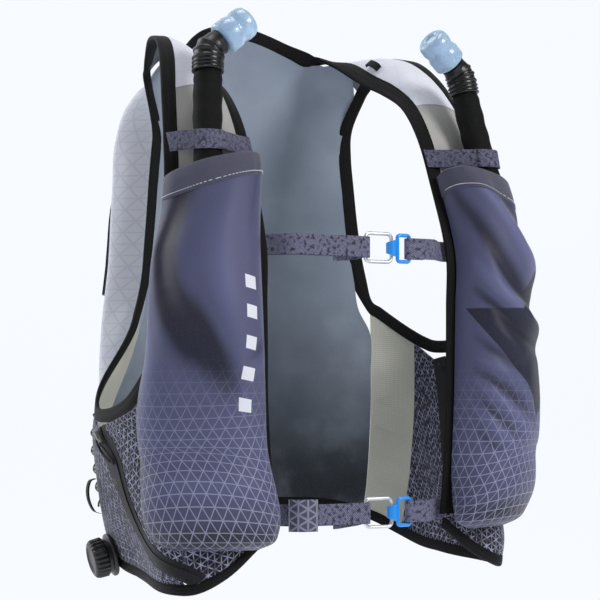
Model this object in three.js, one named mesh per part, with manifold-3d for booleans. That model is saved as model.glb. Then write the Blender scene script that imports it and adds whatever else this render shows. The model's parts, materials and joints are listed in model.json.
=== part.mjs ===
import * as THREE from "three";
import Module from "manifold-3d";

const wasm = await Module();
wasm.setup();

// Millimetres. +X is the wearer's left, -Y the front, +Z up.
// The origin lies between the two shoulder straps, level with the crest of their undersides.

// Body ring
const HALF_WIDTH = 150;
const FRONT_DEPTH = 110;
const BACK_DEPTH = 97;
const DROP = 400;
const RING_POWER = 2.8;
const GIRTH_MM = 2.15;

// Cloth and tape
const CLOTH = 2.4;
const PADDING = 5;
const TAPE_WIDTH = 10;
const TAPE_UNDER = 0.4;
const TAPE_OVER = 2.8;
const HEM_TAPE = 8;
const GAP = 0.3;
const SLACK = 0.5;

// Openings of the harness
const NECK_ARCH = 40;
const ARMHOLE_DROP_RIGHT = 268;
const ARMHOLE_DROP_LEFT = 215;
const ARMHOLE_BACK = 180;
const BACK_GIRTH = 131.6;
const DRAWN_IN = 32;
const FLARE = 30;
const MESH_GIRTH = 108;
const HEM_BACK = 350;
const HEM_DIP_RIGHT = 47;
const HEM_DIP_LEFT = 39;

// Bag
const BAG_HALF_WIDTH = 110;
const BAG_DEPTH = 57;
const BAG_TOP = 6;
const BAG_BOTTOM = -338;
const BAG_WALL = 2;
const BAG_ZIP_WIDTH = 7;

// Flask pockets
const POCKET_WALL = 1.8;
const POCKET_DEPTH = 48;
const POCKET_RIM = 3.8;
const POCKET_TUCK = 4.5;
const POCKET_RAISED = 0.24;

// Flasks and straws
const FLASK_WIDTH = 78;
const FLASK_THICKNESS = 43;
const FLASK_LIFT = 24.4;
const FLASK_TOP_LIFT = 19.5;
const CAP_DIAMETER = 30;
const CAP_HEIGHT = 20;
const STRAW_DIAMETER = 21;
const ELBOW_DIAMETER = 23;
const VALVE_DIAMETER = 25;
const VALVE_LENGTH = 27;
const STRAW_LOOP_HEIGHT = 14;
const STRAW_LOOP_THICKNESS = 1.6;

// Hip pockets
const ZIP_WIDTH = 13.4;
const SLIDER_LENGTH = 15;

// Winding dial
const DIAL_DIAMETER = 32;
const DIAL_BASE_HEIGHT = 6;
const DIAL_KNOB_HEIGHT = 11;
const DIAL_GIRTH = 100;
const DIAL_LEVEL = -376;
const DIAL_PIN_DIAMETER = 8;

// Straps
const WEBBING_WIDTH = 15.5;
const WEBBING = 1.8;
const CHEST_LEVEL = -152;
const WAIST_LEVEL = -343;
const STRAP_FRONT = -113;
const FRAME_WIDTH = 25;
const FRAME_HEIGHT = 23;
const FRAME_WIRE = 2.6;
const FRAME_CENTRE = 11;
const HOOK_WIDTH = 13;
const LACE_DIAMETER = 1.5;

const RIGHT = -1;
const LEFT = 1;
const DEGREE = Math.PI / 180;

const vec = (x, y, z) => new THREE.Vector3(x, y, z);
const mix = (a, b, t) => a + (b - a) * t;
const mixPoint = (a, b, t) => [mix(a[0], b[0], t), mix(a[1], b[1], t)];
const spread = (count) => Array.from({ length: count + 1 }, (_, i) => i / count);

// A table's named column at a place along its first column, on a smooth curve through the rows.
function read(table, key, at, column) {
  const last = table.length - 1;
  const rising = table[last][key] > table[0][key];
  let i = 0;
  while (i < last - 1 && (rising ? table[i + 1][key] < at : table[i + 1][key] > at)) i += 1;
  const a = table[i];
  const b = table[i + 1];
  const span = b[key] - a[key];
  const t = Math.min(1, Math.max(0, (at - a[key]) / span));
  const slope = (p, q) => (q[column] - p[column]) / (q[key] - p[key]);
  const here = slope(a, b);
  const before = i > 0 ? (slope(table[i - 1], a) + here) / 2 : here;
  const after = i + 1 < last ? (here + slope(b, table[i + 2])) / 2 : here;
  const h = t * t * (3 - 2 * t);
  const ramp = t * (1 - t);
  return mix(a[column], b[column], h) + span * ramp * (before * (1 - t) - after * t);
}

// Body ring: shares of the half width and of the two depths, at shares of the drop.
const RING = [
  { level: 0.375, width: 0.987, front: 1, back: 1 },
  { level: 0.5, width: 1, front: 1, back: 1 },
  { level: 0.65, width: 1, front: 1, back: 0.985 },
  { level: 0.75, width: 0.98, front: 1, back: 0.965 },
  { level: 0.88, width: 0.927, front: 0.975, back: 0.948 },
  { level: 0.94, width: 0.88, front: 0.94, back: 0.944 },
  { level: 0.9925, width: 0.853, front: 0.91, back: 0.94 },
];

// How far the lower front corner swings outwards under the load of the flask.
function flareAt(girth, z) {
  const t = Math.min(1, Math.max(0, (-z / DROP - 0.75) / 0.2));
  return FLARE * t * t * (3 - 2 * t) * Math.exp(-(((girth - 54) / 20) ** 2));
}

// A point of the ring: girth in degrees from the middle of the front, lift outwards.
function ringPoint(side, girth, z, lift = 0) {
  const level = -z / DROP;
  const a = HALF_WIDTH * read(RING, "level", level, "width");
  const front = FRONT_DEPTH * read(RING, "level", level, "front");
  const back = BACK_DEPTH * read(RING, "level", level, "back");
  const b = girth <= 90 ? front : back;
  const power = 2 / RING_POWER;
  const cosine = Math.cos(girth * DEGREE);
  const x = a * Math.sin(girth * DEGREE) ** power;
  const y = -Math.sign(cosine) * b * Math.abs(cosine) ** power;
  const slopeX = (x / a) ** (RING_POWER - 1) / a;
  const slopeY = (Math.sign(y) * (Math.abs(y) / b) ** (RING_POWER - 1)) / b;
  const length = Math.hypot(slopeX, slopeY);
  const out = (lift + flareAt(girth, z)) / length;
  return vec(side * (x + out * slopeX), y + out * slopeY, z);
}

// Lower rows of the harness strip: girths of its neck and outer edges at shares of the drop.
const STRIP_LOWER = [
  { level: 0.9625, neck: 23, outer: 68 },
  { level: 0.88, neck: 22, outer: 71 },
  { level: 0.75, neck: 22.2, outer: 74 },
  { level: 0.65, neck: 22.5, outer: 73 },
  { level: 0.5675, neck: 22.5, outer: 69 },
  { level: 0.4775, neck: 22.8, outer: 67 },
  { level: 0.39, neck: 23.2, outer: 66.3 },
];

// Upper rows, over the shoulder: shares of the half width, front depth and drop.
const STRIP_UPPER = [
  { nx: 0.507, ny: -0.755, nz: -0.25, ox: 0.933, oy: -0.627, oz: -0.28, bulge: 0.06 },
  { nx: 0.507, ny: -0.6, nz: -0.16, ox: 0.907, oy: -0.545, oz: -0.19, bulge: 0.06 },
  { nx: 0.513, ny: -0.4, nz: -0.0975, ox: 0.873, oy: -0.418, oz: -0.105, bulge: 0.06 },
  { nx: 0.513, ny: -0.182, nz: -0.065, ox: 0.827, oy: -0.255, oz: -0.035, bulge: 0.067 },
  { nx: 0.507, ny: 0.036, nz: -0.04, ox: 0.78, oy: -0.055, oz: 0.01, bulge: 0.06 },
  { nx: 0.5, ny: 0.255, nz: -0.0125, ox: 0.747, oy: 0.18, oz: 0.015, bulge: 0.06 },
  { nx: 0.473, ny: 0.436, nz: 0.015, ox: 0.733, oy: 0.4, oz: -0.0075, bulge: 0.053 },
];

// Back surface: centre depth and half width of its curve.
const BACK = [
  { z: 40, depth: 0.866, width: 0.433 },
  { z: 16, depth: 0.915, width: 0.533 },
  { z: -18, depth: 0.955, width: 0.847 },
  { z: -60, depth: 0.98, width: 1 },
  { z: -100, depth: 1, width: 1 },
];

function backDepth(x, z) {
  if (z < -150) {
    const level = -z / DROP;
    const a = HALF_WIDTH * read(RING, "level", level, "width");
    const b = BACK_DEPTH * read(RING, "level", level, "back");
    return b * (1 - (Math.abs(x) / a) ** RING_POWER) ** (1 / RING_POWER);
  }
  const half = HALF_WIDTH * read(BACK, "z", z, "width");
  const depth = BACK_DEPTH * read(BACK, "z", z, "depth");
  const share = Math.min(0.97, Math.abs(x) / half);
  return depth * (1 - share ** RING_POWER) ** (1 / RING_POWER);
}

const backPoint = (side, x, z, lift = 0) => vec(side * x, backDepth(x, z) + lift, z);

// Where the strip meets the back.
const SEAM_NECK = { x: 64, z: 16 };
const SEAM_OUTER = { x: 109, z: -18 };

function stripRows() {
  const lower = STRIP_LOWER.map(({ level, neck, outer }) => {
    const z = -level * DROP;
    return [neck, (neck + outer) / 2, outer].map((girth) => ringPoint(LEFT, girth, z));
  });
  const upper = STRIP_UPPER.map((row) => {
    const neck = vec(row.nx * HALF_WIDTH, row.ny * FRONT_DEPTH, row.nz * DROP);
    const outer = vec(row.ox * HALF_WIDTH, row.oy * FRONT_DEPTH, row.oz * DROP);
    return [neck, null, outer, row.bulge * HALF_WIDTH];
  });
  upper.push([
    backPoint(LEFT, SEAM_NECK.x, SEAM_NECK.z),
    null,
    backPoint(LEFT, SEAM_OUTER.x, SEAM_OUTER.z),
    0.035 * HALF_WIDTH,
  ]);
  upper.forEach((row, i) => {
    const before = i > 0 ? upper[i - 1] : lower[lower.length - 1];
    const after = upper[Math.min(i + 1, upper.length - 1)];
    const along = after[0].clone().add(after[2]).sub(before[0]).sub(before[2]);
    const across = row[2].clone().sub(row[0]);
    const out = across.cross(along).normalize();
    row[1] = row[0].clone().add(row[2]).multiplyScalar(0.5).addScaledVector(out, row[3]);
  });
  return [...lower, ...upper];
}

const STRIP = stripRows();
const STRIP_END = STRIP.length - 1;
const STRIP_EDGES = [0, 1, 2].map(
  (i) => new THREE.CatmullRomCurve3(STRIP.map((row) => row[i]), false, "centripetal"),
);

function stripBase(v, w) {
  const [neck, middle, outer] = STRIP_EDGES.map((edge) => edge.getPoint(v / STRIP_END));
  return neck
    .multiplyScalar((1 - w) * (1 - 2 * w))
    .addScaledVector(middle, 4 * w * (1 - w))
    .addScaledVector(outer, w * (2 * w - 1));
}

// A point of the harness strip: v along it in rows, w across from the neck edge, lift outwards.
function stripPoint(side, v, w, lift = 0) {
  const step = 0.02;
  const low = Math.max(0, v - step);
  const high = Math.min(STRIP_END, v + step);
  const along = stripBase(high, w).sub(stripBase(low, w));
  const across = stripBase(v, w + step).sub(stripBase(v, w - step));
  const out = across.cross(along).normalize();
  const point = stripBase(v, w).addScaledVector(out, lift);
  point.x *= side;
  return point;
}

const stripWidth = (v) => stripBase(v, 0).distanceTo(stripBase(v, 1));

// The row at which the strip's middle lies at a level.
function stripRowAt(z, w = 0.5) {
  let low = 0;
  let high = 9.5;
  for (let i = 0; i < 40; i += 1) {
    const middle = (low + high) / 2;
    if (stripBase(middle, w).z < z) low = middle;
    else high = middle;
  }
  return low;
}

// The right rear armhole edge lies drawn in towards the spine, beneath the swell of the bag.
function drawnIn(point) {
  const { smoothstep } = THREE.MathUtils;
  const depth = smoothstep(point.y, 5, 70) * (1 - smoothstep(point.y, 88, 118));
  const side = smoothstep(-point.x, 18, 90);
  const level = smoothstep(point.z, -300, -200) * (1 - 0.5 * smoothstep(point.z, -60, 0));
  return vec(point.x + DRAWN_IN * depth * side * level, point.y, point.z);
}

// A mesh from a closed surface, turned to face outwards.
function solid(points, faces) {
  let volume = 0;
  for (const [a, b, c] of faces) {
    volume += points[a].dot(points[b].clone().cross(points[c]));
  }
  const turned = volume < 0 ? faces.map(([a, b, c]) => [a, c, b]) : faces;
  const geometry = new THREE.BufferGeometry().setFromPoints(points.map(drawnIn));
  geometry.setIndex(turned.flat());
  return geometry;
}

// A closed body through sections of the same even number of points.
function loft(sections, loop = false) {
  const count = sections[0].length;
  const faces = [];
  const at = (i, j) => (i % sections.length) * count + (j % count);
  const steps = loop ? sections.length : sections.length - 1;
  for (let i = 0; i < steps; i += 1) {
    for (let j = 0; j < count; j += 1) {
      faces.push([at(i, j), at(i + 1, j), at(i + 1, j + 1)]);
      faces.push([at(i, j), at(i + 1, j + 1), at(i, j + 1)]);
    }
  }
  if (!loop) {
    const end = sections.length - 1;
    for (let j = 0; j < count / 2 - 1; j += 1) {
      const k = count - 1 - j;
      faces.push([at(0, j), at(0, j + 1), at(0, k - 1)]);
      faces.push([at(0, j), at(0, k - 1), at(0, k)]);
      faces.push([at(end, j + 1), at(end, j), at(end, k - 1)]);
      faces.push([at(end, k - 1), at(end, j), at(end, k)]);
    }
  }
  return solid(sections.flat(), faces);
}

// A sheet with an outer and an inner face, given as rows of points.
const slab = (outer, inner, loop = false) =>
  loft(outer.map((row, i) => [...row, ...inner[i].slice().reverse()]), loop);

// A sheet from a function of row, column and lift.
const sheet = (rows, columns, point, from, to) =>
  slab(
    rows.map((r) => columns.map((c) => point(r, c, to))),
    rows.map((r) => columns.map((c) => point(r, c, from))),
  );

// A round bar along a line of points; radii may vary.
function bar(path, radii, sides = 8, loop = false) {
  const last = path.length - 1;
  let side = null;
  return loft(
    path.map((point, i) => {
      const before = path[loop ? (i + last) % path.length : Math.max(0, i - 1)];
      const after = path[loop ? (i + 1) % path.length : Math.min(last, i + 1)];
      const along = after.clone().sub(before).normalize();
      if (!side) {
        const guide = Math.abs(along.z) < 0.8 ? vec(0, 0, 1) : vec(0, 1, 0);
        side = guide.clone().cross(along).normalize();
      }
      side.addScaledVector(along, -side.dot(along)).normalize();
      const up = along.clone().cross(side);
      const radius = Array.isArray(radii) ? radii[i] : radii;
      return spread(sides)
        .slice(1)
        .map((share) =>
          point
            .clone()
            .addScaledVector(side, radius * Math.cos(share * 2 * Math.PI))
            .addScaledVector(up, radius * Math.sin(share * 2 * Math.PI)),
        );
    }),
    loop,
  );
}

// A turned body: steps of radius and height along an axis from a foot point.
function turned(foot, axis, steps, sides = 16) {
  const along = axis.clone().normalize();
  const guide = Math.abs(along.z) < 0.9 ? vec(0, 0, 1) : vec(0, 1, 0);
  const side = guide.cross(along).normalize();
  const up = along.clone().cross(side);
  return loft(
    steps.map(([radius, height]) =>
      spread(sides)
        .slice(1)
        .map((share) =>
          foot
            .clone()
            .addScaledVector(along, height)
            .addScaledVector(side, radius * Math.cos(share * 2 * Math.PI))
            .addScaledVector(up, radius * Math.sin(share * 2 * Math.PI)),
        ),
    ),
  );
}

// A flat band standing on edge along a line in plan; a third number is its lean backwards.
function band(path, level, height, thickness) {
  const last = path.length - 1;
  return loft(
    path.map(([x, y, lean = 0], i) => {
      const before = path[Math.max(0, i - 1)];
      const after = path[Math.min(last, i + 1)];
      const length = Math.hypot(after[0] - before[0], after[1] - before[1]);
      const nx = ((after[1] - before[1]) / length) * (thickness / 2);
      const ny = (-(after[0] - before[0]) / length) * (thickness / 2);
      const low = level - height / 2;
      const high = level + height / 2;
      const tilt = (lean * height) / 2;
      return [
        vec(x + nx, y + ny - tilt, low),
        vec(x + nx, y + ny + tilt, high),
        vec(x - nx, y - ny + tilt, high),
        vec(x - nx, y - ny - tilt, low),
      ];
    }),
  );
}

function manifoldOf(geometry) {
  const position = geometry.getAttribute("position").array;
  return new wasm.Manifold(
    new wasm.Mesh({
      numProp: 3,
      vertProperties: Float32Array.from(position),
      triVerts: Uint32Array.from(geometry.getIndex().array),
    }),
  );
}

function joined(first, ...others) {
  let whole = manifoldOf(first);
  for (const other of others) whole = whole.add(manifoldOf(other));
  const mesh = whole.getMesh();
  const geometry = new THREE.BufferGeometry();
  geometry.setAttribute("position", new THREE.BufferAttribute(mesh.vertProperties, 3));
  geometry.setIndex(new THREE.BufferAttribute(mesh.triVerts, 1));
  return geometry;
}

const vest = new THREE.Group();
vest.name = "hydration_vest";

function add(name, geometry, color, roughness = 0.8, metalness = 0) {
  const material = new THREE.MeshStandardMaterial({ color, roughness, metalness });
  const mesh = new THREE.Mesh(geometry, material);
  mesh.name = name;
  vest.add(mesh);
}

// Lower edge of the armhole: share of its drop below the back anchor, by girth.
const ARMHOLE = [
  { girth: 60, fall: 0.3 },
  { girth: 66, fall: 0.5 },
  { girth: 72, fall: 0.72 },
  { girth: 84, fall: 0.95 },
  { girth: 96, fall: 1 },
  { girth: 104, fall: 0.86 },
  { girth: 115, fall: 0.57 },
  { girth: 125, fall: 0.24 },
  { girth: 131.6, fall: 0 },
];

const armholeDrop = (side) => (side === RIGHT ? ARMHOLE_DROP_RIGHT : ARMHOLE_DROP_LEFT);

const armholeLevel = (side, girth) =>
  -mix(ARMHOLE_BACK, armholeDrop(side), read(ARMHOLE, "girth", girth, "fall"));

// Hem: share of its dip by girth.
const HEM = [
  { girth: 20, dip: 0.04 },
  { girth: 30, dip: 0.4 },
  { girth: 40, dip: 0.75 },
  { girth: 50, dip: 0.98 },
  { girth: 58, dip: 1 },
  { girth: 70, dip: 0.95 },
  { girth: 88, dip: 0.85 },
  { girth: 108, dip: 0.6 },
  { girth: 131.6, dip: 0.26 },
  { girth: 150, dip: 0.08 },
  { girth: 180, dip: 0 },
];

function hemLevel(side, girth, above = 0) {
  const dip = side === RIGHT ? HEM_DIP_RIGHT : HEM_DIP_LEFT;
  return -HEM_BACK - dip * read(HEM, "girth", girth, "dip") + above;
}

// A line on the ring moved sideways by a length, both as girth and level.
function beside(path, i, offset) {
  const before = path[Math.max(0, i - 1)];
  const after = path[Math.min(path.length - 1, i + 1)];
  const along = (after.girth - before.girth) * GIRTH_MM;
  const rise = after.z - before.z;
  const length = Math.hypot(along, rise);
  return {
    girth: path[i].girth - ((rise / length) * offset) / GIRTH_MM,
    z: path[i].z + (along / length) * offset,
  };
}

// Armhole line: down the strip's outer edge, under the arm, and up the back.
const BACK_EDGE = [
  { x: 0.727, z: -18 },
  { x: 0.715, z: -40 },
  { x: 0.722, z: -62 },
  { x: 0.74, z: -90 },
  { x: 0.757, z: -118 },
  { x: 0.777, z: -144 },
  { x: 0.797, z: -164 },
];

// Rows of the strip shared by its cloth and its tapes, from the shoulder down.
const YOKE_ROWS = [13.5, 13, 12.5, 12, 11.5, 11, 10.5, 10, 9.5];
const CHEST_ROWS = [8.3, 7.8, 7.2, 6.6, 6, 5.5, 5, 4.6, 4.1, 3.6, 3, 2.3, 1.7];
const OUTER_ROWS = [...YOKE_ROWS, 9, ...CHEST_ROWS];

function underArm(side) {
  const outer = read(STRIP_LOWER, "level", 0.52, "outer");
  const girths = [outer + 3, 78, 84, 90, 96, 102, 108, 114, 120, 126, 130.6];
  return girths.map((girth) => ({ girth, z: armholeLevel(side, girth) }));
}

function armholeTape(side) {
  const under = underArm(side);
  const level = under[0].z + 5;
  const low = stripRowAt(level, 1);
  const high = STRIP_END - 0.03;
  const rows = [high, ...OUTER_ROWS.filter((v) => v > low + 0.15), low];
  const sections = [];
  const section = (edge, inner) => [
    edge(-TAPE_UNDER),
    edge(TAPE_OVER),
    inner(TAPE_OVER),
    inner(-TAPE_UNDER),
  ];
  for (const v of rows) {
    const w = 1 - TAPE_WIDTH / stripWidth(v);
    sections.push(
      section(
        (lift) => stripPoint(side, v, 1, lift),
        (lift) => stripPoint(side, v, w, lift),
      ),
    );
  }
  under.forEach((spot, i) => {
    const inside = beside(under, i, -TAPE_WIDTH);
    sections.push(
      section(
        (lift) => ringPoint(side, spot.girth, spot.z, lift),
        (lift) => ringPoint(side, inside.girth, inside.z, lift),
      ),
    );
  });
  for (const { x, z } of BACK_EDGE.slice(1).reverse()) {
    const reach = x * HALF_WIDTH;
    sections.push(
      section(
        (lift) => backPoint(side, reach, z, lift + TAPE_UNDER),
        (lift) => backPoint(side, reach - TAPE_WIDTH, z - 2, lift + TAPE_UNDER),
      ),
    );
  }
  return loft(sections, true);
}

// Neck line: up one strip, over the back arch and down the other strip.
const ARCH = [
  { x: 0.95, z: 0.5 },
  { x: 0.72, z: 0.68 },
  { x: 0.48, z: 0.85 },
  { x: 0.24, z: 0.96 },
  { x: 0, z: 1 },
];

const archPoint = ({ x, z }, below, lift) =>
  backPoint(LEFT, x * SEAM_NECK.x, z * NECK_ARCH - below, lift);

const NECK_ROWS = [1.12, ...OUTER_ROWS.slice().reverse(), 13.88];

function neckTape() {
  const half = [];
  for (const v of NECK_ROWS) {
    const w = TAPE_WIDTH / stripWidth(v);
    half.push([
      stripPoint(LEFT, v, 0, -TAPE_UNDER),
      stripPoint(LEFT, v, 0, TAPE_OVER),
      stripPoint(LEFT, v, w, TAPE_OVER),
      stripPoint(LEFT, v, w, -TAPE_UNDER),
    ]);
  }
  for (const spot of ARCH) {
    half.push([
      archPoint(spot, 0, 0),
      archPoint(spot, 0, TAPE_OVER + 0.6),
      archPoint(spot, TAPE_WIDTH, TAPE_OVER + 0.6),
      archPoint(spot, TAPE_WIDTH, 0),
    ]);
  }
  const other = half
    .slice(0, -1)
    .reverse()
    .map((section) => section.map((p) => vec(-p.x, p.y, p.z)));
  return loft([...half, ...other]);
}

function hemTape() {
  const girths = [24, 30, 36, 42, 48, 54, 60, 68, 76, 84, 92, 100, 108, 116, 124, 131.6];
  girths.push(140, 150, 160, 170, 180);
  const half = (side) =>
    girths.map((girth) => {
      const z = hemLevel(side, girth);
      return [
        ringPoint(side, girth, z, -TAPE_UNDER),
        ringPoint(side, girth, z, TAPE_OVER),
        ringPoint(side, girth, z + HEM_TAPE, TAPE_OVER),
        ringPoint(side, girth, z + HEM_TAPE, -TAPE_UNDER),
      ];
    });
  return loft([...half(RIGHT), ...half(LEFT).slice(0, -1).reverse()]);
}

// Cloth of the strip between its two tapes.
function stripCloth(side, rows, outerMargin) {
  const columns = spread(5);
  const point = (v, share, lift) => {
    const inner = (TAPE_WIDTH + GAP) / stripWidth(v);
    const outer = 1 - (outerMargin(v) + 0.2) / stripWidth(v);
    return stripPoint(side, v, mix(inner, outer, share), lift);
  };
  return sheet(rows, columns, point, 0, CLOTH);
}


function chestPanel(side) {
  const under = underArm(side);
  const corner = stripRowAt(under[0].z - 6, 1);
  const open = stripRowAt(under[0].z - 24, 1);
  const rows = [1.15, ...CHEST_ROWS, 8.97, corner, open].sort((a, b) => a - b);
  const margin = (v) => {
    const share = Math.min(1, Math.max(0, (v - open) / (corner - open)));
    return mix(GAP, TAPE_WIDTH + GAP, share);
  };
  return stripCloth(side, rows, margin);
}

function yoke(side) {
  const rows = [9.03, ...YOKE_ROWS.slice().reverse(), 13.9];
  return stripCloth(side, rows, () => TAPE_WIDTH + GAP);
}

// Back panel: rows down its side edge, columns across.
function backPanel() {
  const down = [
    { x: 100.4, z: -12.6 },
    ...BACK_EDGE.slice(1).map(({ x, z }) => ({ x: x * HALF_WIDTH - TAPE_WIDTH - GAP, z: z - 2 })),
    { x: 112, z: -188 },
  ];
  for (const z of [-210, -240, -270, -300, -330]) {
    down.push({ x: ringPoint(LEFT, BACK_GIRTH + 0.3, z).x, z });
  }
  const low = hemLevel(RIGHT, BACK_GIRTH, HEM_TAPE + GAP + SLACK);
  down.push({ x: ringPoint(LEFT, BACK_GIRTH + 0.3, low).x, z: low });
  const reach = down[0].x;
  const seam = SEAM_NECK.x + 7.5;
  const top = (share) => {
    const x = Math.abs(share) * reach;
    const arch = read(ARCH, "x", Math.min(ARCH[0].x, x / SEAM_NECK.x), "z");
    if (x < seam - 1) return arch * NECK_ARCH - TAPE_WIDTH - GAP;
    return mix(9.4, down[0].z, (x - seam) / (reach - seam));
  };
  const half = [...ARCH.map(({ x }) => (x * SEAM_NECK.x) / reach), seam / reach, 0.86, 1];
  half.sort((a, b) => a - b);
  const columns = [...half.slice(1).reverse().map((share) => -share), ...half];
  const bottom = down.length - 1;
  const point = (row, share, lift) => {
    const fade = (1 - row / bottom) ** 2;
    const { x, z } = down[row];
    let level = z + (top(share) - down[0].z) * fade;
    if (row === bottom) {
      const flat = Math.abs(share * x) / ringPoint(LEFT, 90, z).x;
      const girth = 180 - Math.asin(flat ** (RING_POWER / 2)) / DEGREE;
      level = hemLevel(share < 0 ? RIGHT : LEFT, girth, HEM_TAPE + GAP + SLACK);
    }
    return backPoint(LEFT, share * x, level, lift);
  };
  return sheet(down.map((_, i) => i), columns, point, 0, PADDING);
}


// Bag: shares of its half width and depth at shares of its height, from the bottom.
const BAG = [
  { rise: 0, width: 0.72, depth: 0 },
  { rise: 0.02, width: 0.8, depth: 0.3 },
  { rise: 0.06, width: 0.9, depth: 0.62 },
  { rise: 0.14, width: 0.97, depth: 0.9 },
  { rise: 0.24, width: 1, depth: 1 },
  { rise: 0.38, width: 0.98, depth: 1 },
  { rise: 0.54, width: 0.91, depth: 0.98 },
  { rise: 0.7, width: 0.88, depth: 0.96 },
  { rise: 0.82, width: 0.86, depth: 0.95 },
  { rise: 0.91, width: 0.78, depth: 0.8 },
  { rise: 0.97, width: 0.64, depth: 0.48 },
  { rise: 1, width: 0.52, depth: 0 },
];

function bagPoint(rise, turn, inset) {
  const z = mix(BAG_BOTTOM + inset, BAG_TOP - inset, rise);
  const width = BAG_HALF_WIDTH * read(BAG, "rise", rise, "width") - inset;
  const depth = Math.max(0, BAG_DEPTH * read(BAG, "rise", rise, "depth") - inset);
  const cosine = Math.cos(turn * Math.PI);
  const x = -Math.sign(cosine) * width * Math.abs(cosine) ** 0.8;
  const out = depth * Math.sin(turn * Math.PI) ** 0.62;
  return vec(x, backDepth(x, z) + PADDING + GAP + SLACK + out, z);
}

function packBag() {
  const rises = BAG.map(({ rise }) => rise);
  const turns = spread(12);
  return slab(
    rises.map((rise) => turns.map((turn) => bagPoint(rise, turn, 0))),
    rises.map((rise) => turns.map((turn) => bagPoint(rise, turn, BAG_WALL))),
  );
}

// Closed zip, an arch lying on the bag.
function packZip() {
  const path = spread(22).map((share) => {
    const turn = mix(0.13, 0.87, share);
    const high = Math.sin(share * Math.PI) ** 0.45;
    return { turn, rise: mix(0.46, 0.86, high) };
  });
  const raised = (rise, turn, lift) => {
    const point = bagPoint(rise, turn, 0);
    const along = bagPoint(rise, turn + 0.01, 0).sub(bagPoint(rise, turn - 0.01, 0));
    const up = bagPoint(rise + 0.01, turn, 0).sub(bagPoint(rise - 0.01, turn, 0));
    return point.addScaledVector(up.cross(along).normalize(), lift);
  };
  const sections = path.map(({ turn, rise }, i) => {
    const before = path[Math.max(0, i - 1)];
    const after = path[Math.min(path.length - 1, i + 1)];
    const a = bagPoint(before.rise, before.turn, 0);
    const b = bagPoint(after.rise, after.turn, 0);
    const along = b.sub(a).normalize();
    const centre = raised(rise, turn, GAP + 0.9);
    const top = raised(rise, turn, GAP + 2.5);
    const out = top.clone().sub(centre).normalize();
    const across = out.clone().cross(along).normalize().multiplyScalar(BAG_ZIP_WIDTH / 2);
    return [
      centre.clone().sub(across),
      top.clone().sub(across),
      top.clone().add(across),
      centre.clone().add(across),
    ];
  });
  return loft(sections);
}

// Flask pocket: reach across the strip and share of the depth, by row from its foot to its mouth.
const POCKET = [
  { v: 0.62, start: 0.16, end: 0.8, depth: 0 },
  { v: 0.75, start: 0.09, end: 0.87, depth: 0.28 },
  { v: 1, start: 0.05, end: 0.93, depth: 0.55 },
  { v: 1.5, start: 0.03, end: 0.97, depth: 0.86 },
  { v: 2.2, start: 0.02, end: 0.98, depth: 1 },
  { v: 3, start: 0.02, end: 0.98, depth: 1 },
  { v: 4, start: 0.02, end: 0.98, depth: 0.97 },
  { v: 5, start: 0.02, end: 0.98, depth: 0.93 },
  { v: 6, start: 0.02, end: 0.98, depth: 0.88 },
  { v: 6.6, start: 0.01, end: 0.99, depth: 0.82 },
  { v: 7.1, start: 0, end: 1, depth: 0.72 },
];

// The left pocket sits higher: the foot's rows move up the strip.
const raised = (side, v) => (side === LEFT ? POCKET_RAISED * Math.max(0, (2.2 - v) / 1.6) : 0);

function pocketPoint(side, v, turn, inset) {
  const row = (column) => read(POCKET, "v", v, column);
  const width = stripWidth(v);
  const half = (row("end") - row("start")) / 2 - inset / width;
  const middle = (row("end") + row("start")) / 2;
  const angle = turn * Math.PI;
  const cosine = Math.cos(angle);
  const swell = 1 + 0.16 * Math.sin(angle) ** 2 * Math.min(1, row("depth"));
  const w = middle - Math.sign(cosine) * half * Math.abs(cosine) ** 0.72 * swell;
  const depth = Math.max(0, POCKET_DEPTH * row("depth") - inset);
  const raise = inset > 0 && row("depth") === 0 ? 0.03 : 0;
  const tuck = Math.min(1, Math.max(0, (1.6 - v) / 0.8));
  const lift = POCKET_RIM + POCKET_TUCK * tuck + depth * Math.sin(angle) ** 0.72;
  return stripPoint(side, v + raise + raised(side, v), w, lift);
}

function flaskPocket(side) {
  const rows = POCKET.map(({ v }) => v);
  const turns = spread(12);
  return slab(
    rows.map((v) => turns.map((turn) => pocketPoint(side, v, turn, 0))),
    rows.map((v) => turns.map((turn) => pocketPoint(side, v, turn, POCKET_WALL))),
  );
}

// Flask: share of its width and thickness by row of the strip.
const FLASK = [
  { v: 1.4, size: 0.5 },
  { v: 1.52, size: 0.76 },
  { v: 1.85, size: 0.93 },
  { v: 2.6, size: 1 },
  { v: 4, size: 0.98 },
  { v: 4.8, size: 0.94 },
  { v: 5.4, size: 0.84 },
  { v: 5.9, size: 0.6 },
  { v: 6.1, size: 0.42 },
];

function flask(side) {
  return loft(
    FLASK.map(({ v: row, size }) => {
      const v = row + raised(side, row - 0.2);
      const lift = mix(FLASK_LIFT, FLASK_TOP_LIFT, Math.max(0, (v - 4.4) / 1.7));
      const centre = stripPoint(side, v, 0.5, lift);
      const out = stripPoint(side, v, 0.5, 10).sub(stripPoint(side, v, 0.5, 0)).normalize();
      const across = stripPoint(side, v, 0.55).sub(stripPoint(side, v, 0.45)).normalize();
      return spread(14)
        .slice(1)
        .map((share) => {
          const c = Math.cos(share * 2 * Math.PI);
          const s = Math.sin(share * 2 * Math.PI);
          const wide = (Math.sign(c) * Math.abs(c) ** 0.8 * FLASK_WIDTH * size) / 2;
          const thick = (Math.sign(s) * Math.abs(s) ** 0.8 * FLASK_THICKNESS * size) / 2;
          return centre.clone().addScaledVector(across, wide).addScaledVector(out, thick);
        });
    }),
  );
}

const capFoot = (side) => stripPoint(side, 6.1, 0.5, FLASK_TOP_LIFT).add(vec(0, 0, GAP + 2));

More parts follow.
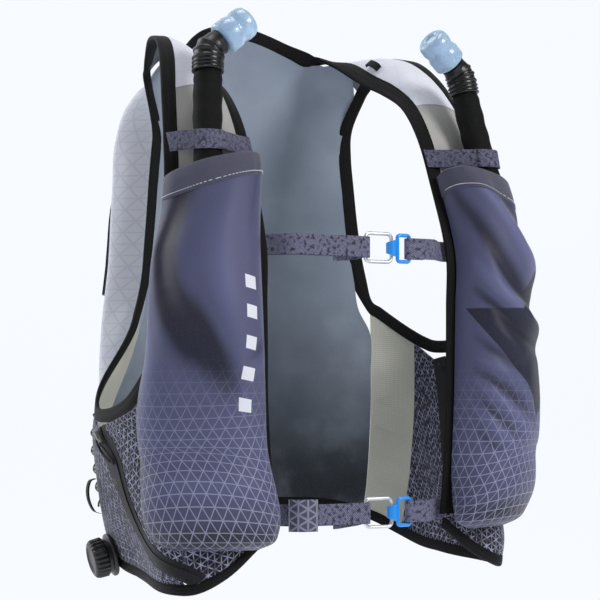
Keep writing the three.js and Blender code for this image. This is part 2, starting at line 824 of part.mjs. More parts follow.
function flaskCap(side) {
  const radius = CAP_DIAMETER / 2;
  const steps = [
    [radius - 1, 0],
    [radius, 1.2],
    [radius, CAP_HEIGHT - 4],
    [radius - 4, CAP_HEIGHT - 1],
    [radius - 5, CAP_HEIGHT],
  ];
  return turned(capFoot(side), vec(0, 0, 1), steps, 14);
}

// Straw centre line, hand-laid from the cap to the elbow.
function strawPath(side) {
  const foot = capFoot(side).add(vec(0, 0, CAP_HEIGHT + GAP));
  const points = [
    foot.clone().add(vec(0, 0, 3)),
    vec(side * 120.5, -99.5, -104),
    vec(side * 117.5, -92, -79),
    vec(side * 114, -85.5, -54),
    vec(side * 111, -80, -30),
  ];
  return [foot, ...new THREE.CatmullRomCurve3(points).getPoints(8)];
}

const straw = (side) => bar(strawPath(side), STRAW_DIAMETER / 2, 10);

const ELBOW_TURN = [
  [111, -79.9, -29.6],
  [110.6, -79.2, -26],
  [110.2, -78.6, -22.5],
  [109.6, -77.8, -18],
  [107.5, -77, -13],
  [104, -77.2, -9.2],
  [100.2, -78, -6.4],
];

const valveAxis = (side) => vec(side * -0.776, -0.105, 0.62).normalize();

const valveFoot = (side) => vec(side * 99.6, -78.2, -5.8).addScaledVector(valveAxis(side), GAP);

function elbow(side) {
  const centre = new THREE.CatmullRomCurve3(
    ELBOW_TURN.map(([x, y, z]) => vec(side * x, y, z)),
  ).getPoints(14);
  const wide = ELBOW_DIAMETER / 2;
  const radii = [1, 1, 0.9, 1.02, 0.9, 1.02, 0.9, 1.02, 0.9, 1, 0.96, 0.92, 0.9, 0.88, 0.88];
  return bar(centre, radii.map((share) => share * wide), 12);
}

function biteValve(side) {
  const wide = VALVE_DIAMETER / 2;
  const steps = [
    [wide * 0.86, 0],
    [wide, 2],
    [wide, VALVE_LENGTH * 0.42],
    [wide * 0.84, VALVE_LENGTH * 0.5],
    [wide * 0.84, VALVE_LENGTH * 0.58],
    [wide * 0.98, VALVE_LENGTH * 0.68],
    [wide * 0.94, VALVE_LENGTH * 0.9],
    [wide * 0.7, VALVE_LENGTH],
  ];
  return turned(valveFoot(side), valveAxis(side), steps, 14);
}

// Elastic loop that holds the straw.
function strawLoop(side) {
  const v = stripRowAt(-80, 0.2);
  const start = stripPoint(LEFT, v, 0.07, TAPE_OVER + GAP + 1);
  const finish = stripPoint(LEFT, v, 0.94, TAPE_OVER + GAP + 1);
  const centre = [117.5, -92.2];
  const reach = STRAW_DIAMETER / 2 + 1.5 + STRAW_LOOP_THICKNESS / 2;
  const around = [205, 230, 255, 280, 305, 330, 345].map((angle) => [
    side * (centre[0] + reach * Math.cos(angle * DEGREE)),
    centre[1] + reach * Math.sin(angle * DEGREE),
    0.27,
  ]);
  const path = [
    [side * (start.x - 4), start.y + 0.25, 0.47],
    [side * (start.x + 3), start.y - 1.4, 0.47],
    ...around,
    [side * (finish.x - 1), finish.y - 4.5, 0.4],
    [side * finish.x, finish.y - 0.2, 0.45],
  ];
  return band(path, -80, STRAW_LOOP_HEIGHT, STRAW_LOOP_THICKNESS);
}

// Zip line of a hip pocket on the ring.
const ZIP_LINE = [
  { right: 94, left: 94, fall: 0, sweep: 0 },
  { right: 91.5, left: 92, fall: 0.21, sweep: 0 },
  { right: 88.6, left: 90, fall: 0.46, sweep: 0 },
  { right: 86.6, left: 88, fall: 0.75, sweep: 0 },
  { right: 84, left: 86, fall: 1, sweep: 0 },
  { right: 79.5, left: 82.5, fall: 1, sweep: 13 },
  { right: 72.5, left: 77.5, fall: 1, sweep: 25 },
  { right: 63, left: 71.5, fall: 1, sweep: 36 },
  { right: 53, left: 65, fall: 1, sweep: 44 },
];

function zipLine(side) {
  const top = armholeLevel(side, 94) - TAPE_WIDTH - 4;
  const bend = hemLevel(side, 52, HEM_TAPE + 52);
  return ZIP_LINE.map(({ right, left, fall, sweep }) => ({
    girth: side === RIGHT ? right : left,
    z: mix(top, bend, fall) - sweep,
  }));
}

function ringBand(side, path, half, from, to) {
  return loft(
    path.map((spot, i) => {
      const a = beside(path, i, half);
      const b = beside(path, i, -half);
      return [
        ringPoint(side, a.girth, a.z, to),
        ringPoint(side, spot.girth, spot.z, to),
        ringPoint(side, b.girth, b.z, to),
        ringPoint(side, b.girth, b.z, from),
        ringPoint(side, spot.girth, spot.z, from),
        ringPoint(side, a.girth, a.z, from),
      ];
    }),
  );
}

const hipZip = (side) => ringBand(side, zipLine(side), ZIP_WIDTH / 2, -0.4, CLOTH + 0.4);

function hipFront(side) {
  const zip = zipLine(side);
  const rear = zip.map((_, i) => beside(zip, i, -ZIP_WIDTH / 2 - GAP * 1.6));
  const under = underArm(side).map((_, i, path) => beside(path, i, -TAPE_WIDTH - GAP - SLACK));
  const front = [];
  const low = -0.88 * DROP + 6;
  const high = underArm(side)[0].z - 25;
  const edge = (z) => read(STRIP_LOWER, "level", -z / DROP, "outer") + GAP;
  for (const share of [0, 0.16, 0.34, 0.52, 0.7, 0.86, 1]) {
    const z = mix(high, low, share);
    front.push({ girth: edge(z), z });
  }
  front.push({ girth: 64, z: low - 1 });
  front.push({ girth: 57, z: low - 1 });
  front.push({ girth: 53, z: low - 1 });
  const end = rear[rear.length - 1].girth - 2.2;
  rear.push({ girth: end, z: hemLevel(side, end, HEM_TAPE + GAP + SLACK) });
  for (const girth of [47, 40, 33, 26]) {
    front.push({ girth, z: low - 0.5 });
    rear.push({ girth: girth + 1, z: hemLevel(side, girth + 1, HEM_TAPE + GAP + SLACK) });
  }
  const rows = front.map((_, i) => i);
  const point = (i, share, lift) => {
    const girth = mix(front[i].girth, rear[i].girth, share);
    const level = mix(front[i].z, rear[i].z, share);
    const roof = read(under, "girth", girth, "z");
    return ringPoint(side, girth, Math.min(level, roof - i * 0.5), lift);
  };
  return sheet(rows, spread(4), point, 0, CLOTH);
}

function hipRear(side) {
  const zip = zipLine(side);
  const front = zip.map((_, i) => beside(zip, i, ZIP_WIDTH / 2 + GAP));
  const end = front[8].girth + 0.6;
  front[8] = { girth: end, z: hemLevel(side, end, HEM_TAPE + GAP + SLACK) };
  const under = underArm(side).map((_, i, path) => beside(path, i, -TAPE_WIDTH - GAP - 0.4));
  const top = read(under, "girth", MESH_GIRTH, "z");
  const bottom = hemLevel(side, MESH_GIRTH, HEM_TAPE + GAP + SLACK);
  const rear = zip.map((_, i) => ({
    girth: MESH_GIRTH - GAP / 2,
    z: mix(top, bottom, i / (zip.length - 1)),
  }));
  const rows = front.map((_, i) => i);
  const last = rows.length - 1;
  const point = (i, share, lift) => {
    const girth = mix(front[i].girth, rear[i].girth, share);
    let z = mix(front[i].z, rear[i].z, share);
    if (i === last) z = hemLevel(side, girth, HEM_TAPE + GAP + SLACK);
    if (i === 0) z = Math.min(z, read(under, "girth", girth, "z"));
    return ringPoint(side, girth, z, lift);
  };
  return sheet(rows, spread(5), point, 0, CLOTH);
}

function sideMesh(side) {
  const under = underArm(side).map((_, i, path) => beside(path, i, -TAPE_WIDTH - GAP - 0.4));
  const columns = spread(5);
  const rows = spread(7);
  const point = (row, share, lift) => {
    const girth = mix(MESH_GIRTH + GAP / 2, BACK_GIRTH - GAP, share);
    const top = read(under, "girth", girth, "z");
    const bottom = hemLevel(side, girth, HEM_TAPE + GAP + SLACK);
    return ringPoint(side, girth, mix(top, bottom, row), lift);
  };
  return sheet(rows, columns, point, 0, 1.6);
}

// Lace that zigzags over the side mesh.
function lace(side) {
  const turns = 5;
  const top = armholeLevel(side, MESH_GIRTH) - TAPE_WIDTH - 16;
  const bottom = hemLevel(side, BACK_GIRTH, HEM_TAPE + 12);
  const path = [];
  for (let i = 0; i < turns * 2; i += 1) {
    const girths = i % 2 === 0 ? [110.5, 120, 129] : [129, 120, 110.5];
    for (const [j, girth] of girths.entries()) {
      if (i > 0 && j === 0) continue;
      const share = (i + j / 2) / (turns * 2);
      path.push(ringPoint(side, girth, mix(top, bottom, share), 1.6 + GAP + 1.6));
    }
  }
  return bar(path, LACE_DIAMETER / 2, 6);
}

function zipSlider(side) {
  const line = zipLine(side);
  const spot = line[0];
  const next = line[1];
  const out = CLOTH + 0.4 + GAP;
  const from = ringPoint(side, spot.girth, spot.z - 2, out + 1.4);
  const to = ringPoint(side, next.girth, spot.z - 2 - SLIDER_LENGTH, out + 1.4);
  const normal = ringPoint(side, spot.girth, spot.z, 10)
    .sub(ringPoint(side, spot.girth, spot.z))
    .normalize();
  const along = to.clone().sub(from).normalize();
  const across = normal.clone().cross(along).normalize();
  const shares = [0, 0.12, 0.45, 0.5, 0.55, 0.9, 1];
  const halves = [2.4, 3.8, 3.4, 1.6, 2.4, 2.6, 1.6];
  return loft(
    shares.map((share, i) => {
      const centre = from.clone().lerp(to, share);
      const wide = across.clone().multiplyScalar(halves[i]);
      const tall = normal.clone().multiplyScalar(share < 0.5 ? 1.4 : 0.8);
      return [
        centre.clone().sub(wide).sub(tall),
        centre.clone().sub(wide).add(tall),
        centre.clone().add(wide).add(tall),
        centre.clone().add(wide).sub(tall),
      ];
    }),
  );
}

// Winding dial on the right hip.
function dialFrame() {
  const at = (girth, z) => ringPoint(RIGHT, girth, z);
  const along = at(DIAL_GIRTH + 4, DIAL_LEVEL).sub(at(DIAL_GIRTH - 4, DIAL_LEVEL));
  const up = at(DIAL_GIRTH, DIAL_LEVEL + 12).sub(at(DIAL_GIRTH, DIAL_LEVEL - 12));
  const axis = along.cross(up).normalize();
  if (axis.x > 0) axis.negate();
  return { axis, foot: at(DIAL_GIRTH, DIAL_LEVEL).addScaledVector(axis, TAPE_OVER + 0.5) };
}

function dialBase() {
  const { axis, foot } = dialFrame();
  const radius = DIAL_DIAMETER / 2;
  const pin = DIAL_PIN_DIAMETER / 2;
  return turned(foot, axis, [
    [radius - 1, 0],
    [radius, 1],
    [radius, 2.6],
    [radius - 3, 3.4],
    [radius - 3, DIAL_BASE_HEIGHT],
    [pin, DIAL_BASE_HEIGHT],
    [pin, DIAL_BASE_HEIGHT + 6],
  ], 20);
}

function dialKnob() {
  const { axis, foot } = dialFrame();
  const radius = DIAL_DIAMETER / 2 - 1.2;
  const start = DIAL_BASE_HEIGHT + GAP;
  const hole = DIAL_PIN_DIAMETER / 2 + GAP;
  const along = axis.clone();
  const side = vec(0, 0, 1).cross(along).normalize();
  const up = along.clone().cross(side);
  const count = 32;
  const circle = (size, height, ridge) =>
    spread(count)
      .slice(1)
      .map((share, i) => {
        const reach = size - (i % 2 === 0 ? ridge : 0);
        return foot
          .clone()
          .addScaledVector(along, height)
          .addScaledVector(side, reach * Math.cos(share * 2 * Math.PI))
          .addScaledVector(up, reach * Math.sin(share * 2 * Math.PI));
      });
  return loft([
    circle(hole, start + 7, 0),
    circle(hole, start, 0),
    circle(radius - 1, start, 0.8),
    circle(radius, start + 1.2, 0.9),
    circle(radius - 0.6, start + DIAL_KNOB_HEIGHT - 1.4, 0.9),
    circle(radius - 2.4, start + DIAL_KNOB_HEIGHT, 0.2),
  ]);
}

// Small folded webbing loop at the rear edge of the right hip.
function poleLoop() {
  const girth = 104.5;
  const level = -334;
  const sections = [];
  const thick = 1.1;
  for (const [lift, z] of [[0, 13], [4.5, 11], [7, 4], [7, -4], [4.5, -11], [0, -13]]) {
    const section = [];
    for (const [turn, inset] of [[-1, 0], [1, 0], [1, 1], [-1, 1]]) {
      const outwards = CLOTH + GAP + 0.1 + lift + (inset ? 0 : thick);
      section.push(ringPoint(RIGHT, girth + turn * 2.4, level + z * (inset ? 0.86 : 1), outwards));
    }
    sections.push(section);
  }
  return loft(sections);
}

const NEAR_BAR = FRAME_CENTRE - (FRAME_WIDTH - FRAME_WIRE) / 2;
const HOOK_BAR = FRAME_CENTRE + (FRAME_WIDTH - FRAME_WIRE) / 2 + HOOK_WIDTH + 2.7;
const BAR_REACH = FRAME_WIRE / 2 + GAP + WEBBING / 2 + 0.25;

// Hairpin strap: from a tape to a bar, round it and a little way back.
function strapPath(side, level, bend, layer, back) {
  const v = stripRowAt(level, 0);
  const w = TAPE_WIDTH / stripWidth(v);
  const under = -TAPE_UNDER - GAP - WEBBING / 2 - 1.6;
  const start = stripPoint(side, v, w * 0.4, under);
  const edge = stripPoint(side, v, -0.02, under);
  const radius = layer;
  const lean = level > CHEST_LEVEL - 10 ? 0.26 : 0;
  const path = [
    [start.x, start.y, lean],
    [edge.x, edge.y, lean],
    [edge.x - side * 14, STRAP_FRONT - radius + 2.4, lean / 4],
    [mix(edge.x, bend, 0.5), STRAP_FRONT - radius],
    [bend + side * 6, STRAP_FRONT - radius],
  ];
  for (const angle of [-90, -45, 0, 45, 90]) {
    path.push([
      bend - side * radius * Math.cos(angle * DEGREE),
      STRAP_FRONT + radius * Math.sin(angle * DEGREE),
    ]);
  }
  path.push([bend + side * 6, STRAP_FRONT + radius], [bend + side * back, STRAP_FRONT + radius]);
  return path;
}

const strap = (...line) => band(strapPath(...line), line[1], WEBBING_WIDTH, WEBBING);

// Rectangular frame of round wire.
function frame(centre, level, width, height, wire) {
  const x = (width - wire) / 2;
  const z = (height - wire) / 2;
  const cut = 2.4;
  const corners = [
    [x - cut, z],
    [x, z - cut],
    [x, -z + cut],
    [x - cut, -z],
    [-x + cut, -z],
    [-x, -z + cut],
    [-x, z - cut],
    [-x + cut, z],
  ];
  const path = corners.map(([dx, dz]) => vec(centre + dx, STRAP_FRONT, level + dz));
  return bar(path, wire / 2, 8, true);
}

// Hook clip: a frame for the webbing and a curl round the ring's bar.
function hook(level) {
  const barAt = FRAME_CENTRE + (FRAME_WIDTH - FRAME_WIRE) / 2;
  const centre = barAt + HOOK_WIDTH / 2 + 4;
  const body = frame(centre, level, HOOK_WIDTH, FRAME_HEIGHT - 1, 2.6);
  const reach = FRAME_WIRE / 2 + GAP + 1.2;
  const start = centre - HOOK_WIDTH / 2 + 1.4;
  const path = [[start, STRAP_FRONT]];
  for (const angle of [300, 270, 235, 200, 165, 130, 100]) {
    const x = barAt + reach * Math.cos(angle * DEGREE);
    path.push([x, STRAP_FRONT + reach * Math.sin(angle * DEGREE)]);
  }
  return joined(body, band(path, level, 9, 1.9));
}

function shoulderLoop() {
  const path = [[-7, 0], [-6, 2.4], [0, 3.4], [6, 2.4], [7, 0]];
  const foot = stripPoint(LEFT, 11.3, 0.32, CLOTH + GAP + 0.3);
  const along = stripPoint(LEFT, 11.6, 0.32).sub(stripPoint(LEFT, 11, 0.32)).normalize();
  const out = stripPoint(LEFT, 11.3, 0.32, 5).sub(stripPoint(LEFT, 11.3, 0.32)).normalize();
  const across = out.clone().cross(along).normalize();
  return loft(
    path.map(([s, rise]) => {
      const section = [];
      for (const [wide, tall] of [[-3, 0], [-3, 1.2], [3, 1.2], [3, 0]]) {
        section.push(
          foot
            .clone()
            .addScaledVector(along, s * (tall ? 1.12 : 1))
            .addScaledVector(out, rise + tall + (Math.abs(s) > 6.5 ? 0.2 : 0))
            .addScaledVector(across, wide),
        );
      }
      return section;
    }),
  );
}

// Small folded tab on the right half of the waist strap.
function waistTab() {
  const thickness = 1.4;
  const line = strapPath(RIGHT, WAIST_LEVEL, NEAR_BAR, BAR_REACH, 26).slice(1, 4);
  const out = WEBBING / 2 + GAP + 0.7 + thickness / 2;
  const path = [mixPoint(line[0], line[1], 0.5), line[1], mixPoint(line[1], line[2], 0.6)];
  return band(path.map(([x, y]) => [x - 0.35 * out, y - out]), WAIST_LEVEL, 23, thickness);
}

const SIDES = [
  [RIGHT, "right"],
  [LEFT, "left"],
];
const SLATE = 0x5c5d78;
const CHARCOAL = 0x2f3040;
const WEB = 0x6d6c85;
const BLACK = 0x141416;

add("back_panel", backPanel(), 0x667079, 0.75);
add("pack_bag", packBag(), 0xe4e6ee, 0.65);
add("pack_zip", packZip(), 0xb9bcc6, 0.6);
add("neck_binding", neckTape(), BLACK, 0.7);
add("hem_binding", hemTape(), BLACK, 0.7);
for (const [side, name] of SIDES) {
  add(`yoke_${name}`, yoke(side), 0xe4e6ee, 0.65);
  add(`chest_panel_${name}`, chestPanel(side), 0x8f8f8c, 0.85);
  add(`armhole_binding_${name}`, armholeTape(side), BLACK, 0.7);
  add(`flask_pocket_${name}`, flaskPocket(side), SLATE, 0.6);
  add(`flask_${name}`, flask(side), 0xb8c8d6, 0.35);
  add(`flask_cap_${name}`, flaskCap(side), 0x2a6fb0, 0.4);
  add(`straw_${name}`, straw(side), 0x1b1b1e, 0.85);
  add(`elbow_${name}`, elbow(side), 0x101012, 0.4);
  add(`bite_valve_${name}`, biteValve(side), 0x7fb8f0, 0.25);
  add(`straw_loop_${name}`, strawLoop(side), 0x55566a, 0.8);
  add(`hip_front_${name}`, hipFront(side), CHARCOAL, 0.75);
  add(`hip_rear_${name}`, hipRear(side), CHARCOAL, 0.75);
  add(`hip_zip_${name}`, hipZip(side), BLACK, 0.6);
  add(`zip_slider_${name}`, zipSlider(side), 0xb8b8bc, 0.35, 0.9);
  add(`side_mesh_${name}`, sideMesh(side), 0x8c8c80, 0.85);
  add(`lace_${name}`, lace(side), 0x3a3a3e, 0.7);
}
for (const [level, name] of [[CHEST_LEVEL, "chest"], [WAIST_LEVEL, "waist"]]) {
  add(`${name}_strap_right`, strap(RIGHT, level, NEAR_BAR, BAR_REACH, 26), WEB, 0.85);
  add(`${name}_strap_left`, strap(LEFT, level, HOOK_BAR, BAR_REACH + 0.15, 14), WEB, 0.85);
  add(`${name}_ring`, frame(FRAME_CENTRE, level, FRAME_WIDTH, FRAME_HEIGHT, FRAME_WIRE), 0xc9c9d0, 0.3, 1);
  add(`${name}_hook`, hook(level), 0x29a3f0, 0.4);
}
add("waist_tab", waistTab(), 0x55566a, 0.8);
add("dial_base", dialBase(), 0x17171a, 0.5);
add("dial_knob", dialKnob(), 0x1d1d20, 0.45);
add("pole_loop", poleLoop(), BLACK, 0.7);
add("shoulder_loop", shoulderLoop(), BLACK, 0.7);

export default vest;
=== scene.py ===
"""Looks of a running hydration vest, in metres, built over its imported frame.

Every cloth piece is a parametric surface: the body ring, the harness strip and the
back are written once as numpy functions, and each piece is a grid on one of them.
"""

import json  # noqa: E402
import logging  # noqa: E402
import math  # noqa: E402
from dataclasses import dataclass, field  # noqa: E402
from enum import Enum  # noqa: E402

import bpy  # noqa: E402
import numpy as np  # noqa: E402
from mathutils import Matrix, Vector  # noqa: E402

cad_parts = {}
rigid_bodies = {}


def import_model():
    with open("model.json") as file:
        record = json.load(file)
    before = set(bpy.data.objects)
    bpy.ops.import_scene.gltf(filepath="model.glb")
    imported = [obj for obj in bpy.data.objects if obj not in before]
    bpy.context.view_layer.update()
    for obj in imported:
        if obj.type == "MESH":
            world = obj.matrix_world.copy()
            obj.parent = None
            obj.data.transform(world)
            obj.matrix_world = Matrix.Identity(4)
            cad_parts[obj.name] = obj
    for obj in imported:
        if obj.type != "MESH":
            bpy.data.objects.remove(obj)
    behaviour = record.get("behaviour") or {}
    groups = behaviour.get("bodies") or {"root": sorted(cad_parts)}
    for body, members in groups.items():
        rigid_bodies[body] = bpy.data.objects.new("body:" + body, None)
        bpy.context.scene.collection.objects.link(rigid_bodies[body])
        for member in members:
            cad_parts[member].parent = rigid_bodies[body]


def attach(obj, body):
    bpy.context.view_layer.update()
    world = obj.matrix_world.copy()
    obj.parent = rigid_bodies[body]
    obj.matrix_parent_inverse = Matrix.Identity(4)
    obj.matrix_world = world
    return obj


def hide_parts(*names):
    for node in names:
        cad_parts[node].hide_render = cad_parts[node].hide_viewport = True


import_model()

log = logging.getLogger("vest")
logging.basicConfig(level=logging.INFO, format="%(name)s: %(message)s")

MM = 0.001
SEED = 7
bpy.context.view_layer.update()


class Side(Enum):
    """Which side of the wearer a piece is on; the value is the sign of X."""

    RIGHT = -1
    LEFT = 1

    @property
    def word(self) -> str:
        """Lower-case name, as the frame's nodes end."""
        return self.name.lower()


# Driving sizes in millimetres
HALF_WIDTH = 150.0
FRONT_DEPTH = 110.0
BACK_DEPTH = 97.0
DROP = 400.0
RING_POWER = 2.8
GIRTH_MM = 2.15
PADDING = 5.0
TAPE_WIDTH = 10.0
TAPE_UNDER = 0.4
TAPE_OVER = 2.8
HEM_TAPE = 8.0
GAP = 0.3
SLACK = 0.5
NECK_ARCH = 40.0
ARMHOLE_DROP = {Side.RIGHT: 268.0, Side.LEFT: 215.0}
ARMHOLE_BACK = 180.0
BACK_GIRTH = 131.6
FLARE = 30.0
MESH_GIRTH = 108.0
DRAWN_IN = 32.0
HEM_BACK = 350.0
HEM_DIP = {Side.RIGHT: 47.0, Side.LEFT: 39.0}
STRAP_FRONT = -113.0
CHEST_LEVEL = -152.0
WAIST_LEVEL = -343.0
RING_CENTRE = 11.0
RING_WIDTH = 25.0
RING_HEIGHT = 23.0
POCKET_DEPTH = 48.0
FLASK_HALF = (27.0, 15.0)
FLASK_LIFT = 19.5
FLASK_TOP = 6.1
HEM_STITCHES = 64
# Painted shade of the pocket folds: the fold height in mm that reads as full painted shade, and
# painted shade on each pocket's outer side
FOLD_SHADE_DEPTH = 9.0
OUTER_PAINTED_SHADE = {Side.RIGHT: 0.22, Side.LEFT: 0.0}
SHOULDER_RISE = 7.5
ZIP_TAIL = ((1.6, 1.6), (3.2, 3.8), (4.6, 6.4))

# Metres: how far aside a lining's cloth coordinates lie
LINING_SHIFT = 10.0

# Studio, in metres
CAMERA_PLACE = (-0.75, -1.299, -0.25)
CAMERA_AIM = (0.0087, -0.005, -0.186)
CAMERA_LENS = 117.0
WORLD_STRENGTH = 0.16


def vec(x: float, y: float, z: float) -> np.ndarray:
    """A point or direction as a float array."""
    return np.array([x, y, z], float)


def unit(v: np.ndarray) -> np.ndarray:
    """Directions scaled to length one along the last axis."""
    return v / np.maximum(np.linalg.norm(v, axis=-1, keepdims=True), 1e-9)


def smooth(t: np.ndarray) -> np.ndarray:
    """Smooth step from 0 to 1: t squared times three minus two t."""
    t = np.clip(t, 0, 1)
    return t * t * (3 - 2 * t)


@dataclass(frozen=True)
class Table:
    """Rows of named columns, read on a smooth curve along the first column."""

    columns: tuple[str, ...]
    rows: tuple[tuple[float, ...], ...]

    def read(self, at: np.ndarray, column: str) -> np.ndarray:
        """Value of a column at places along the first one.

        Args:
            at: places, of any shape.
            column: name of the column.

        Returns:
            Values of the same shape: a cubic through each pair of rows whose end
            slopes are the means of the slopes on both sides.
        """
        data = np.array(self.rows, float)
        x, y = data[:, 0], data[:, self.columns.index(column)]
        if x[-1] < x[0]:
            x, y = x[::-1], y[::-1]
        slope = np.diff(y) / np.diff(x)
        ends = np.concatenate([slope[:1], (slope[1:] + slope[:-1]) / 2, slope[-1:]])
        at = np.clip(np.asarray(at, float), x[0], x[-1])
        i = np.clip(np.searchsorted(x, at, side="right") - 1, 0, len(slope) - 1)
        span = x[i + 1] - x[i]
        t = (at - x[i]) / span
        ramp = t * (1 - t)
        bend = span * ramp * (ends[i] * (1 - t) - ends[i + 1] * t)
        return y[i] + (y[i + 1] - y[i]) * smooth(t) + bend


RING = Table(
    ("level", "width", "front", "back"),
    (
        (0.375, 0.987, 1, 1),
        (0.5, 1, 1, 1),
        (0.65, 1, 1, 0.985),
        (0.75, 0.98, 1, 0.965),
        (0.88, 0.927, 0.975, 0.948),
        (0.94, 0.88, 0.94, 0.944),
        (0.9925, 0.853, 0.91, 0.94),
    ),
)
BACK = Table(
    ("z", "depth", "width"),
    ((40, 0.866, 0.433), (16, 0.915, 0.533), (-18, 0.955, 0.847), (-60, 0.98, 1), (-100, 1, 1)),
)
ARMHOLE = Table(
    ("girth", "fall"),
    ((60, 0.3), (66, 0.5), (72, 0.72), (84, 0.95), (96, 1), (104, 0.86), (115, 0.57), (125, 0.24),
     (131.6, 0)),
)
HEM = Table(
    ("girth", "dip"),
    ((20, 0.04), (30, 0.4), (40, 0.75), (50, 0.98), (58, 1), (70, 0.95), (88, 0.85), (108, 0.6),
     (131.6, 0.26), (150, 0.08), (180, 0)),
)
ARCH = Table(("x", "z"), ((0.95, 0.5), (0.72, 0.68), (0.48, 0.85), (0.24, 0.96), (0, 1)))
STRIP_LOWER = (
    (0.9625, 23, 68), (0.88, 22, 71), (0.75, 22.2, 74), (0.65, 22.5, 73), (0.5675, 22.5, 69),
    (0.4775, 22.8, 67), (0.39, 23.2, 66.3),
)
STRIP_UPPER = (
    (0.507, -0.755, -0.25, 0.933, -0.627, -0.28, 0.06),
    (0.507, -0.6, -0.16, 0.907, -0.545, -0.19, 0.06),
    (0.513, -0.4, -0.0975, 0.873, -0.418, -0.105, 0.06),
    (0.513, -0.182, -0.065, 0.827, -0.255, -0.035, 0.067),
    (0.507, 0.036, -0.04, 0.78, -0.055, 0.01, 0.06),
    (0.5, 0.255, -0.0125, 0.747, 0.18, 0.015, 0.06),
    (0.473, 0.436, 0.015, 0.733, 0.4, -0.0075, 0.053),
)
BACK_EDGE = ((0.727, -18), (0.715, -40), (0.722, -62), (0.74, -90), (0.757, -118), (0.777, -144),
             (0.797, -164))
BAG = Table(
    ("rise", "width", "depth"),
    ((0, 0.72, 0), (0.02, 0.8, 0.3), (0.06, 0.9, 0.62), (0.14, 0.97, 0.9), (0.24, 1, 1),
     (0.38, 0.98, 1), (0.54, 0.91, 0.98), (0.7, 0.88, 0.96), (0.82, 0.86, 0.95),
     (0.91, 0.78, 0.8), (0.97, 0.64, 0.48), (1, 0.52, 0)),
)
POCKET = Table(
    ("v", "start", "end", "depth"),
    ((0.62, 0.16, 0.72, 0), (0.75, 0.09, 0.8, 0.28), (1, 0.06, 0.85, 0.55),
     (1.5, 0.05, 0.86, 0.82), (2.2, 0.05, 0.87, 0.94), (3, 0.05, 0.9, 0.94), (4, 0.06, 0.93, 0.92),
     (5, 0.07, 0.95, 0.88), (6, 0.08, 0.95, 0.8), (6.6, 0.08, 0.97, 0.7), (7.1, 0.08, 0.98, 0.56)),
)
LEAN = Table(
    ("v", "share"),
    ((0.6, 0.3), (1.6, 0.25), (2.4, 0.3), (3.2, 0.5), (4.2, 0.68), (5.5, 0.6), (7.1, 0.5)),
)
ZIP_LINE = Table(
    ("place", "right", "left", "fall", "sweep"),
    ((0, 94, 94, 0, 0), (1, 91.5, 92, 0.21, 0), (2, 88.6, 90, 0.46, 0), (3, 86.6, 88, 0.75, 0),
     (4, 84, 86, 1, 0), (5, 79.5, 82.5, 1, 13), (6, 72.5, 77.5, 1, 25), (7, 63, 71.5, 1, 36),
     (8, 53, 65, 1, 44)),
)


class Body:
    """The worn form: a superellipse ring below, the back surface above it."""

    @staticmethod
    def ring(side: Side, girth, z, lift=0.0) -> np.ndarray:
        """Point of the ring.

        x is the half width times sine of the girth to the power two over 2.8, and y
        the depth times cosine to the same power; the lift runs along the outward
        normal, with a flare at the lower front corner.

        Args:
            side: side of the wearer.
            girth: degrees from the middle of the front.
            z: level.
            lift: distance outwards.

        Returns:
            Points with a last axis of three.
        """
        girth, z, lift = np.broadcast_arrays(
            np.asarray(girth, float), np.asarray(z, float), np.asarray(lift, float)
        )
        level = -z / DROP
        a = HALF_WIDTH * RING.read(level, "width")
        front = FRONT_DEPTH * RING.read(level, "front")
        back = BACK_DEPTH * RING.read(level, "back")
        b = np.where(girth <= 90, front, back)
        power = 2 / RING_POWER
        cosine = np.cos(np.radians(girth))
        x = a * np.abs(np.sin(np.radians(girth))) ** power
        y = -np.sign(cosine) * b * np.abs(cosine) ** power
        slope_x = (x / a) ** (RING_POWER - 1) / a
        slope_y = np.sign(y) * (np.abs(y) / b) ** (RING_POWER - 1) / b
        length = np.hypot(slope_x, slope_y)
        swing = smooth((level - 0.75) / 0.2) * np.exp(-(((girth - 54) / 20) ** 2))
        out = (lift + FLARE * swing) / length
        return np.stack([side.value * (x + out * slope_x), y + out * slope_y, z], -1)

    @staticmethod
    def back(x, z, lift=0.0) -> np.ndarray:
        """Point of the back surface at a place across and a level."""
        x, z, lift = np.broadcast_arrays(
            np.asarray(x, float), np.asarray(z, float), np.asarray(lift, float)
        )
        level = -z / DROP
        low = z < -150
        half = np.where(low, HALF_WIDTH * RING.read(level, "width"),
                        HALF_WIDTH * BACK.read(z, "width"))
        depth = np.where(low, BACK_DEPTH * RING.read(level, "back"),
                         BACK_DEPTH * BACK.read(z, "depth"))
        share = np.minimum(0.97, np.abs(x) / half)
        y = depth * (1 - share**RING_POWER) ** (1 / RING_POWER)
        return np.stack([x, y + lift, z], -1)


